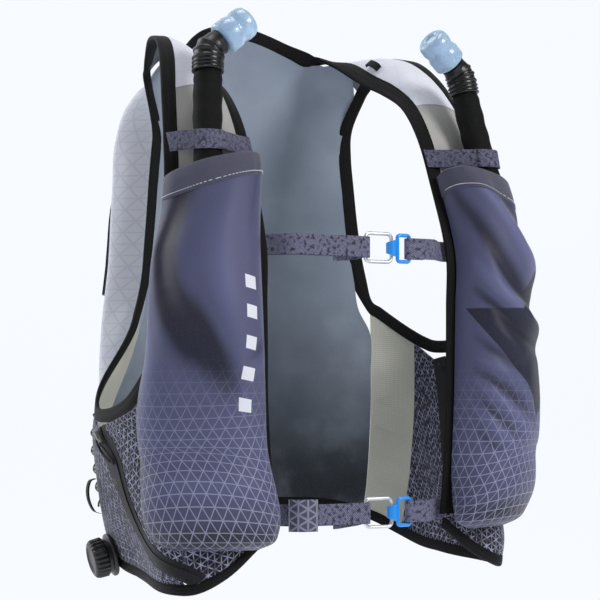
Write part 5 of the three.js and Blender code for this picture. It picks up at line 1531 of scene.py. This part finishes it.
    def straw(self) -> None:
        """Sleeved hose, ribbed elbow and soft valve."""
        k = self.side.value
        foot = self.cap_foot() + vec(0, 0, 20.3)
        rest = np.array([foot + vec(0, 0, 3), vec(k * 120.5, -99.5, -104), vec(k * 117.5, -92, -79),
                         vec(k * 114, -85.5, -54), vec(k * 111, -80, -30)])
        path = np.concatenate([[foot], catmull(rest, 60)])
        radii = np.full(len(path), 10.4)
        radii += 0.25 * np.sin(np.linspace(0, 40, len(path)))
        radii[-3:] = [10.2, 9.8, 9.2]
        place(tube(path, radii, 40), f"Straw_{self.word}", self.cloths.sleeve,
              (f"straw_{self.word}",), "black_sleeve")
        turn = np.array([(111, -79.9, -29.6), (110.6, -79.2, -26), (110.2, -78.6, -22.5),
                         (109.6, -77.8, -18), (107.5, -77, -13), (104, -77.2, -9.2),
                         (100.2, -78, -6.4)]) * [k, 1, 1]
        centre = catmull(turn, 90)
        s = np.linspace(0, 1, 90)
        ribs = 0.75 * np.clip(np.sin(s * 2 * np.pi * 7.5), -0.3, 1) * (s < 0.72)
        radii = 11.5 * (1 - 0.13 * smooth((s - 0.6) / 0.3)) - 0.6 + ribs
        place(tube(centre, radii, 48), f"Elbow_{self.word}", self.cloths.rubber,
              (f"elbow_{self.word}",), "black_rubber")
        axis = unit(vec(-0.776 * k, -0.105, 0.62))
        start = vec(k * 99.6, -78.2, -5.8) + axis * 0.3
        steps = [(9, 0), (10.9, 0.3), (12.2, 1.4), (12.5, 2.6), (12.5, 10), (12.1, 11.6),
                 (11.5, 13), (11.3, 14.2), (11.5, 15.6), (12.1, 17.4), (12.3, 19), (12.0, 23),
                 (10.8, 25.6), (9, 26.8), (7.2, 27), (5.6, 26.6), (4.4, 25.2)]
        place(turned(start, axis, steps, 64), f"Valve_{self.word}", self.cloths.valve,
              (f"bite_valve_{self.word}",), "clear_silicone", sharp=60)
        inner = [(5.5, 1), (6, 2), (6, 11), (4.4, 12.4), (4.2, 19), (3, 21)]
        place(turned(start, axis, inner, 40), f"Valve_core_{self.word}", self.cloths.core, (),
              "blue_plastic")

    def loop(self) -> None:
        """Elastic loop round the straw, leaning with the strip."""
        k = self.side.value
        v = STRIP.row_at(-80, 0.2)
        start = STRIP.point(Side.LEFT, np.array(v), np.array(0.07), np.array(4.1))
        finish = STRIP.point(Side.LEFT, np.array(v), np.array(0.94), np.array(4.1))
        reach = 10.5 + 1.5 + 0.8
        angle = np.radians([205, 230, 255, 280, 305, 330, 345])
        round_ = np.stack([117.5 + reach * np.cos(angle), -92.2 + reach * np.sin(angle),
                           np.full(7, 0.27)], -1)
        path = np.concatenate([
            [(start[0] - 4, start[1] + 0.25, 0.47), (start[0] + 3, start[1] - 1.4, 0.47)], round_,
            [(finish[0] - 1, finish[1] - 4.5, 0.4), (finish[0], finish[1] - 0.2, 0.45)]])
        path = path * [k, 1, 1]
        place(ribbon(catmull(path, 90), -80, 14, 1.5), f"Straw_loop_{self.word}",
              self.cloths.elastic, (f"straw_loop_{self.word}",), "webbing")


def ribbon(path: np.ndarray, level, height, thickness: float) -> Surface:
    """A band on edge along a plan line of x, y and lean, with rounded long edges.

    Args:
        path: rows of x, y and lean.
        level: middle level, a number or one per row.
        height: of the band, a number or one per row.
        thickness: of the band.

    Returns:
        The closed band.
    """
    tangent = unit(np.gradient(path[:, :2], axis=0))
    normal = np.stack([tangent[:, 1], -tangent[:, 0]], -1)[:, None]
    a = np.array([0.5, 0.5, 0.5, 0.5, 0.5, 0.5, 0.3, -0.3, -0.5, -0.5, -0.5, -0.5, -0.5, -0.5,
                  -0.3, 0.3]) * thickness
    h = np.array([-0.47, -0.3, -0.1, 0.1, 0.3, 0.47, 0.5, 0.5, 0.47, 0.3, 0.1, -0.1, -0.3, -0.47,
                  -0.5, -0.5])
    level, height = (np.broadcast_to(np.asarray(q, float), (len(path),))[:, None]
                     for q in (level, height))
    z = h[None] * height
    xy = path[:, None, :2] + normal * a[None, :, None]
    y = xy[..., 1] + path[:, 2:3] * z
    return Surface.loft(np.stack([xy[..., 0], y, level + z], -1))


@dataclass
class Hip:
    """One hip pocket: two knit panels, the zip between them and its slider."""

    cloths: Cloths
    side: Side

    @property
    def word(self) -> str:
        """Lower-case name of the side."""
        return self.side.word

    def grid(self, first: np.ndarray, second: np.ndarray, rows: int, cols: int) -> tuple:
        """Girth and level between two polylines of equal length."""
        t = np.linspace(0, len(first) - 1, rows)
        i = np.arange(len(first))
        a = np.stack([np.interp(t, i, first[:, k]) for k in (0, 1)], -1)[:, None]
        b = np.stack([np.interp(t, i, second[:, k]) for k in (0, 1)], -1)[:, None]
        s = np.linspace(0, 1, cols)[None, :, None]
        both = a + (b - a) * s
        return both[..., 0], both[..., 1]

    def puff(self, girth: np.ndarray, z: np.ndarray) -> np.ndarray:
        """Soft unevenness of the knit."""
        p = np.stack([girth * GIRTH_MM, z, np.zeros_like(z)], -1)
        return 0.9 * ripple(p, 14.0, 11 + self.side.value)

    def build(self) -> None:
        """Makes the panels, the zip and the slider."""
        self.front()
        self.rear()
        self.zip()
        self.slider()

    def roof(self, extra: float) -> np.ndarray:
        """Lower edge of the armhole tape, moved down a little more."""
        line = under_arm(self.side)
        return beside(line, np.full(len(line), -TAPE_WIDTH - extra))

    def sheet(self, girth, z, name: str, node: str, flat=None) -> None:
        """Knit panel from its girths and levels."""
        rise = self.puff(girth, z)
        outer = Body.ring(self.side, girth, z, 2.0 + rise * 0.6)
        inner = Body.ring(self.side, girth, z, 0.5 + rise * 0.6)
        obj = place(Surface.slab(outer, inner), name, self.cloths.charcoal, (node,),
                    "charcoal_knit")
        declare_sheet(obj, outer, ("Hem_tape", f"Armhole_tape_{self.word}"), flat)

    def front(self) -> None:
        """Panel between the pocket's edge and the zip, and on below the pocket."""
        side = self.side
        line = zip_line(side)
        rear = list(beside(line, np.full(9, -6.2)))
        roof = self.roof(-0.6)
        low_z = -0.88 * DROP + 6
        high_z = float(under_arm(side)[0, 1]) - 25
        z = high_z + (low_z - high_z) * np.array([0, 0.16, 0.34, 0.52, 0.7, 0.86, 1])
        levels = np.array([r[0] for r in STRIP_LOWER])[::-1]
        outers = np.array([r[2] for r in STRIP_LOWER])[::-1]
        edge = np.interp(-z / DROP, levels, outers) - 0.3
        front = list(np.stack([edge, z], -1))
        front += [np.array([g, low_z - 0.5]) for g in (64, 57, 53)]
        end = rear[-1][0] - 1.6
        rear.append(np.array([end, float(hem_level(side, end, HEM_TAPE - 0.6))]))
        for girth in (47, 40, 33, 25):
            front.append(np.array([girth, low_z]))
            rear.append(np.array([girth + 1, float(hem_level(side, girth + 1, HEM_TAPE - 0.6))]))
        girth, z = self.grid(np.array(front), np.array(rear), 110, 24)
        z = np.minimum(z, np.interp(girth, roof[:, 0], roof[:, 1]))
        self.sheet(girth, z, f"Hip_front_{self.word}", f"hip_front_{self.word}")

    def rear(self) -> None:
        """Panel between the zip and the side mesh."""
        side = self.side
        line = zip_line(side)
        front = beside(line, np.full(9, 6.2))
        end = front[-1, 0] - 1.6
        front = np.vstack([front, (end, float(hem_level(side, end, HEM_TAPE - 0.6)))])
        roof = self.roof(-0.4)
        top = float(np.interp(MESH_GIRTH, roof[:, 0], roof[:, 1]))
        foot = float(hem_level(side, MESH_GIRTH, HEM_TAPE - 0.6))
        rear = np.stack([np.full(10, MESH_GIRTH), np.linspace(top, foot, 10)], -1)
        girth, z = self.grid(front, rear, 90, 40)
        z = np.minimum(z, np.interp(girth, roof[:, 0], roof[:, 1]))
        t = smooth((np.linspace(0, 1, 90)[:, None] - 0.85) / 0.15)
        z = z + (hem_level(side, girth, HEM_TAPE - 0.6) - z) * t
        flat = (float(np.ptp(girth)) * GIRTH_MM, float(np.ptp(z)))
        self.sheet(girth, z, f"Hip_rear_{self.word}", f"hip_rear_{self.word}", flat)

    def zip(self) -> None:
        """Zip band with a raised coil."""
        line = zip_line(self.side, 90)
        line = np.vstack([line, line[-1] - ZIP_TAIL])
        across = np.array([-6.7, -6.2, -2.2, -2.0, 2.0, 2.2, 6.2, 6.7, 6.2, 0, -6.2])
        lift = np.array([1.2, 2.3, 2.4, 3.3, 3.3, 2.4, 2.3, 1.2, 0, 0, 0.0])
        sections = np.stack([
            Body.ring(self.side, *beside(line, np.full(len(line), a)).T, h)
            for a, h in zip(across, lift)], 1)
        place(Surface.loft(sections), f"Hip_zip_{self.word}", self.cloths.zip,
              (f"hip_zip_{self.word}",), "zip_tape")

    def slider(self) -> None:
        """Metal slider with a bridge and a black cord pull."""
        line = zip_line(self.side, 90)
        spot, after = line[2], line[22]

        def at(share, lift, across=0.0):
            p = spot + (after - spot) * share + np.array([across / GIRTH_MM, 0])
            return Body.ring(self.side, p[0], p[1], lift)

        base = np.array([at(s, 4.3) for s in np.linspace(0, 0.42, 14)])
        radii = 3.6 + 0.9 * np.cos(np.linspace(0, np.pi * 1.4, 14))
        radii[[0, -1]] *= 0.5
        body = tube(base, radii, 20, flat=0.36)
        bridge = np.array([at(s, h) for s, h in
                           [(0.03, 4.6), (0.07, 6.4), (0.18, 7.0), (0.29, 6.4), (0.33, 4.6)]])
        whole = body.joined(tube(catmull(bridge, 24), 0.8, 12))
        place(whole, f"Slider_{self.word}", self.cloths.steel, (f"zip_slider_{self.word}",),
              "steel")
        pull = np.array([at(s, h, a) for s, h, a in
                         [(0.2, 6.0, 1.0), (0.4, 6.6, 2.4), (0.75, 4.9, 3.2), (1.02, 4.4, 1.6),
                          (1.0, 4.4, -1.0), (0.7, 5.2, -0.6), (0.4, 6.4, 0.2)]])
        place(tube(catmull(pull, 60, True), 0.95, 10, True), f"Pull_{self.word}",
              self.cloths.cord, (), "black_tape")


@dataclass
class SideLacing:
    """Open mesh at one side, with the cord that draws it in."""

    cloths: Cloths
    side: Side

    def build(self) -> None:
        """Makes the mesh, its eyelet marks and the cord."""
        side = self.side
        line = under_arm(side)
        roof = beside(line, np.full(len(line), -TAPE_WIDTH + 0.6))
        row, share = share_grid(60, 26)
        girth = MESH_GIRTH + (BACK_GIRTH - MESH_GIRTH) * share + 0 * row
        top = np.interp(girth, roof[:, 0], roof[:, 1])
        foot = hem_level(side, girth, HEM_TAPE - 0.6)
        z = top + (foot - top) * row
        outer = Body.ring(side, girth, z, 1.3)
        obj = place(Surface.slab(outer, Body.ring(side, girth, z, 0.3)),
                    f"Side_mesh_{side.word}", self.cloths.side_mesh,
                    (f"side_mesh_{side.word}",), "strap_mesh")
        declare_sheet(obj, outer, ("Hem_tape", "Back_padding"))
        self.cord()

    def cord(self) -> None:
        """Zigzag cord through small loops."""
        side = self.side
        top = float(armhole_level(side, MESH_GIRTH)) - TAPE_WIDTH - 16
        foot = float(hem_level(side, BACK_GIRTH, HEM_TAPE + 12))
        turns = 10
        i = np.arange(turns + 1)
        ends = np.where(i % 2 == 0, 110.5, 129.0)
        t = np.linspace(0, turns, 260)
        girth = np.interp(t, i, ends)
        z = top + (foot - top) * t / turns
        near = np.abs(t - np.round(t))
        girth = girth - np.sign(girth - 119.7) * 0.5 * np.exp(-((near / 0.04) ** 2))
        path = Body.ring(side, girth, z, 2.9)
        place(tube(path, 0.75, 10), f"Lace_{side.word}", self.cloths.cord,
              (f"lace_{side.word}",), "lace_cord")
        eyelets = []
        for k, g in zip(i[1:-1], ends[1:-1]):
            level = top + (foot - top) * k / turns
            a = np.linspace(0, 2 * np.pi, 20, endpoint=False)
            ring = Body.ring(side, g + 1.6 * np.cos(a) / GIRTH_MM, level + 1.6 * np.sin(a), 1.9)
            eyelets.append(tube(ring, 0.55, 8, True))
        place(eyelets[0].joined(*eyelets[1:]), f"Eyelets_{side.word}", self.cloths.steel, (),
              "steel")


@dataclass
class Strap:
    """One front strap: two webbings, a metal ring and a blue hook."""

    cloths: Cloths
    name: str
    level: float
    wave: float

    def line(self, side: Side, bend: float, reach: float, back: float) -> np.ndarray:
        """Plan line of a webbing from its tape round a bar and back."""
        v = STRIP.row_at(self.level, 0.0)
        w = TAPE_WIDTH / float(STRIP.width(np.array(v)))
        under = np.array(-3.2)
        start = STRIP.point(side, np.array(v), np.array(w * 0.4), under)
        edge = STRIP.point(side, np.array(v), np.array(-0.02), under)
        lean = 0.26 if self.level > CHEST_LEVEL - 10 else 0.0
        k = side.value
        rows = [
            (start[0], start[1], lean), (edge[0], edge[1], lean),
            (edge[0] - k * 14, STRAP_FRONT - reach + 2.4, lean / 4),
            ((edge[0] + bend) / 2, STRAP_FRONT - reach, 0), (bend + k * 6, STRAP_FRONT - reach, 0),
        ]
        for angle in np.radians([-90, -45, 0, 45, 90]):
            rows.append((bend - k * reach * math.cos(angle), STRAP_FRONT + reach * math.sin(angle), 0))
        rows += [(bend + k * 6, STRAP_FRONT + reach, 0), (bend + k * back, STRAP_FRONT + reach, 0)]
        return np.array(rows, float)

    def webbing(self, side: Side, bend: float, reach: float, back: float, droop: float) -> None:
        """Webbing with a slight wave; its loose end may droop."""
        rows = self.line(side, bend, reach, back)
        path = catmull(rows, 200)
        s = np.linspace(0, 1, 200)
        free = smooth((s - 0.8) / 0.2)
        path[:, 1] += self.wave * np.sin(s * 30) * smooth(s / 0.15) * (s < 0.45)
        level = self.level - droop * free**1.5
        path[:, 1] += 1.5 * free * np.sin(s * 55) * (droop > 0)
        place(ribbon(path, level, 15.2, 1.6), f"{self.name}_webbing_{side.word}",
              self.cloths.webbing, (f"{self.name.lower()}_strap_{side.word}",), "webbing")

    def build(self) -> None:
        """Makes the webbings, the ring and the hook."""
        half = (RING_WIDTH - 2.6) / 2
        reach = 1.3 + GAP + 0.9 + 0.25
        hook_bar = RING_CENTRE + half + 13 + 2.7
        self.webbing(Side.RIGHT, RING_CENTRE - half, reach, 26, 3.0 if self.wave else 0.0)
        self.webbing(Side.LEFT, hook_bar, reach + 0.15, 14, 0.0)
        place(self.frame(RING_CENTRE, RING_WIDTH, RING_HEIGHT, 1.3, 3.6), f"{self.name}_ring",
              self.cloths.alloy, (f"{self.name.lower()}_ring",), "alloy")
        self.hook(RING_CENTRE + half)

    def frame(self, centre: float, width: float, height: float, wire: float,
              corner: float) -> Surface:
        """Rounded rectangle of round wire."""
        x, z = width / 2 - wire - corner, height / 2 - wire - corner
        a = np.linspace(0, 2 * np.pi, 120, endpoint=False)
        cx = np.where(np.cos(a) >= 0, x, -x) + corner * np.cos(a)
        cz = np.where(np.sin(a) >= 0, z, -z) + corner * np.sin(a)
        path = np.stack([centre + cx, np.full(120, STRAP_FRONT), self.level + cz], -1)
        return tube(path, wire, 16, True)

    def hook(self, bar: float) -> None:
        """Moulded clip: a frame for the webbing and a curl round the ring's bar."""
        centre = bar + 13 / 2 + 4
        body = self.frame(centre, 13, RING_HEIGHT - 1, 1.4, 2.0)
        reach = 1.3 + GAP + 1.2
        angle = np.radians([300, 270, 235, 200, 165, 130, 100])
        curl = np.stack([bar + reach * np.cos(angle), STRAP_FRONT + reach * np.sin(angle),
                         0 * angle], -1)
        start = np.array([[centre - 13 / 2 + 1.4, STRAP_FRONT, 0]])
        path = catmull(np.concatenate([start, curl]), 60)
        s = np.linspace(0, 1, 60)
        whole = body.joined(ribbon(path, self.level, 9.5 + 2.5 * np.cos(s * np.pi), 2.0))
        place(whole, f"{self.name}_hook", self.cloths.blue, (f"{self.name.lower()}_hook",),
              "blue_plastic")


@dataclass
class Dial:
    """Winding dial low on the right hip."""

    cloths: Cloths
    diameter: float = 32.0

    def frame(self) -> tuple[np.ndarray, np.ndarray]:
        """Foot and axis of the dial on the ring."""
        at = Body.ring
        along = at(Side.RIGHT, 104, -376) - at(Side.RIGHT, 96, -376)
        up = at(Side.RIGHT, 100, -364) - at(Side.RIGHT, 100, -388)
        axis = unit(np.cross(along, up))
        axis = -axis if axis[0] > 0 else axis
        return at(Side.RIGHT, 100, -376) + axis * (TAPE_OVER + 0.5), axis

    def build(self) -> None:
        """Makes the base and the turning knob."""
        foot, axis = self.frame()
        r = self.diameter / 2
        base = [(r - 1.4, 0), (r - 0.3, 0.4), (r, 1.1), (r, 2.2), (r - 0.4, 2.8), (r - 2.6, 3.5),
                (r - 3, 3.9), (r - 3, 6), (4, 6.1), (4, 12)]
        place(turned(foot, axis, base, 72), "Dial_base", self.cloths.plastic, ("dial_base",),
              "black_plastic")
        r -= 1.2
        knob = [(4.3, 13.3), (4.3, 6.4), (r - 1, 6.4, 0.4), (r - 0.2, 6.9, 1), (r, 7.6, 1),
                (r - 0.2, 13.6, 1), (r - 0.8, 15.4, 1), (r - 2, 16.5, 0.4), (r - 3.4, 17.0),
                (r - 4.6, 17.1), (r - 5.4, 16.6), (r - 6, 16.2), (3, 16.2), (0.6, 16.2)]
        place(turned(foot, axis, knob, 192, (24, 1.1)), "Dial_knob", self.cloths.plastic,
              ("dial_knob",), "black_plastic", body="dial")


@dataclass
class Trim:
    """Small loops and the printed tab."""

    cloths: Cloths

    def build(self) -> None:
        """Makes the trim."""
        self.pole_loop()
        self.shoulder_loop()
        self.tab()

    def pole_loop(self) -> None:
        """Folded tape standing off the rear of the right hip."""
        rows = catmull(np.array([(0.2, 13), (4.5, 11), (7, 4), (7, -4), (4.5, -11), (0.2, -13)]), 50)
        across = np.array([-5.2, -5.2, 5.2, 5.2])
        depth = np.array([0, 1.2, 1.2, 0])
        sections = []
        for a, d in zip(across, depth):
            girth = 104.5 + a / GIRTH_MM
            sections.append(Body.ring(Side.RIGHT, girth, -334 + rows[:, 1], 2.9 + rows[:, 0] + d))
        place(Surface.loft(np.stack(sections, 1)), "Pole_loop", self.cloths.tape, ("pole_loop",),
              "black_tape")

    def shoulder_loop(self) -> None:
        """Low loop of tape on the left shoulder."""
        rows = catmull(np.array([(-7, 0), (-6, 2.4), (0, 3.4), (6, 2.4), (7, 0)]), 40)
        v, w = np.array(11.3), np.array(0.32)
        foot = STRIP.point(Side.LEFT, v, w, np.array(3.0))
        along = unit(STRIP.point(Side.LEFT, v + 0.3, w) - STRIP.point(Side.LEFT, v - 0.3, w))
        out = unit(STRIP.point(Side.LEFT, v, w, np.array(5.0)) - STRIP.point(Side.LEFT, v, w))
        across = unit(np.cross(out, along))
        sections = [
            foot + along * rows[:, :1] + out * (rows[:, 1:] + t) + across * a
            for a, t in ((-3, 0), (-3, 1.1), (3, 1.1), (3, 0))
        ]
        place(Surface.loft(np.stack(sections, 1)), "Shoulder_loop", self.cloths.tape,
              ("shoulder_loop",), "black_tape")

    def tab(self) -> None:
        """Printed tab over the right end of the waist strap."""
        strap = Strap(self.cloths, "Waist", WAIST_LEVEL, 0.0)
        line = strap.line(Side.RIGHT, RING_CENTRE - (RING_WIDTH - 2.6) / 2, 2.75, 26)[1:4]
        out = 0.9 + GAP + 0.7 + 0.7
        a = (line[0] + line[1]) / 2
        b = line[1] + (line[2] - line[1]) * 0.6
        rows = catmull(np.array([a, line[1], b]), 40)
        rows[:, 0] -= 0.35 * out
        rows[:, 1] -= out
        rows[:, 2] = 0
        place(ribbon(rows, WAIST_LEVEL, 22.5, 1.2), "Waist_tab", self.cloths.tab, ("waist_tab",),
              "webbing")


class Studio:
    """Plain pale studio and the camera."""

    @staticmethod
    def light(name: str, where, target, size: float, power: float, tint) -> None:
        """One soft area light aimed at a point."""
        data = bpy.data.lights.new(name, "AREA")
        data.shape = "DISK"
        data.size = size
        data.energy = power
        data.color = tint
        obj = bpy.data.objects.new(name, data)
        obj.location = where
        aim = Vector(target) - Vector(where)
        obj.rotation_euler = aim.to_track_quat("-Z", "Y").to_euler()
        bpy.context.collection.objects.link(obj)

    def build(self) -> None:
        """Backdrop, lights, world and camera."""
        angle = np.linspace(0, np.pi / 2, 24)
        depth = np.concatenate([[-6.0], 2.6 + 1.4 * np.sin(angle), [4.0]])
        height = np.concatenate([[-0.95], 0.45 - 1.4 * np.cos(angle), [7.0]])
        x = np.array([-9.0, 9.0])
        grid = np.stack([
            np.broadcast_to(x[None], (26, 2)), np.broadcast_to(depth[:, None], (26, 2)),
            np.broadcast_to(height[:, None], (26, 2))], -1) / MM
        sweep = Surface(grid.reshape(-1, 3), np.zeros((52, 2)), [Surface.quads(26, 2, False, False)])
        pale = Paint("backdrop")
        pale.g.feed(pale.shader.inputs["Base Color"], (0.1, 0.1, 0.1))
        pale.g.feed(pale.shader.inputs["Roughness"], 0.9)
        pale.g.feed(pale.shader.inputs["Emission Color"], srgb("f4f7fc"))
        pale.g.feed(pale.shader.inputs["Emission Strength"], 0.97)
        sweep.mesh("Backdrop", pale.material)
        target = (0, 0, -0.18)
        self.light("Key", (0.75, -1.75, 0.75), target, 0.7, 26, (1.0, 0.99, 0.98))
        self.light("Fill", (-1.8, -0.7, 0.3), target, 1.2, 4, (0.95, 0.97, 1.0))
        self.light("Top", (-0.1, 0.0, 1.7), target, 0.9, 12, (1.0, 1.0, 1.0))
        self.light("Rear", (-1.1, 1.6, 0.8), target, 1.2, 12, (0.96, 0.98, 1.0))
        world = bpy.data.worlds.new("Studio")
        world.use_nodes = True
        world.node_tree.nodes["Background"].inputs[0].default_value = (*srgb("eef4fb"), 1)
        world.node_tree.nodes["Background"].inputs[1].default_value = WORLD_STRENGTH
        bpy.context.scene.world = world
        bpy.context.scene.view_settings.view_transform = "Standard"
        data = bpy.data.cameras.new("Camera")
        data.sensor_width = 36
        data.lens = CAMERA_LENS
        camera = bpy.data.objects.new("Camera", data)
        camera.location = CAMERA_PLACE
        aim = Vector(CAMERA_AIM) - camera.location
        camera.rotation_euler = aim.to_track_quat("-Z", "Y").to_euler()
        bpy.context.collection.objects.link(camera)
        bpy.context.scene.camera = camera


class Vest:
    """The whole vest."""

    def build(self) -> None:
        """Makes every piece and the studio."""
        cloths = Cloths()
        Tapes(cloths).build()
        Harness(cloths).build()
        Bag(cloths).build()
        for side in Side:
            FlaskPocket(cloths, side).build()
            Hip(cloths, side).build()
            SideLacing(cloths, side).build()
        Strap(cloths, "Chest", CHEST_LEVEL, 0.5).build()
        Strap(cloths, "Waist", WAIST_LEVEL, 0.4).build()
        Dial(cloths).build()
        Trim(cloths).build()
        Studio().build()
        faces = sum(len(o.data.polygons) for o in bpy.data.objects if o.type == "MESH")
        log.info("pieces made with %d faces", faces)


def main() -> None:
    """Builds the vest and the studio."""
    Vest().build()


if __name__ == "__main__":
    main()
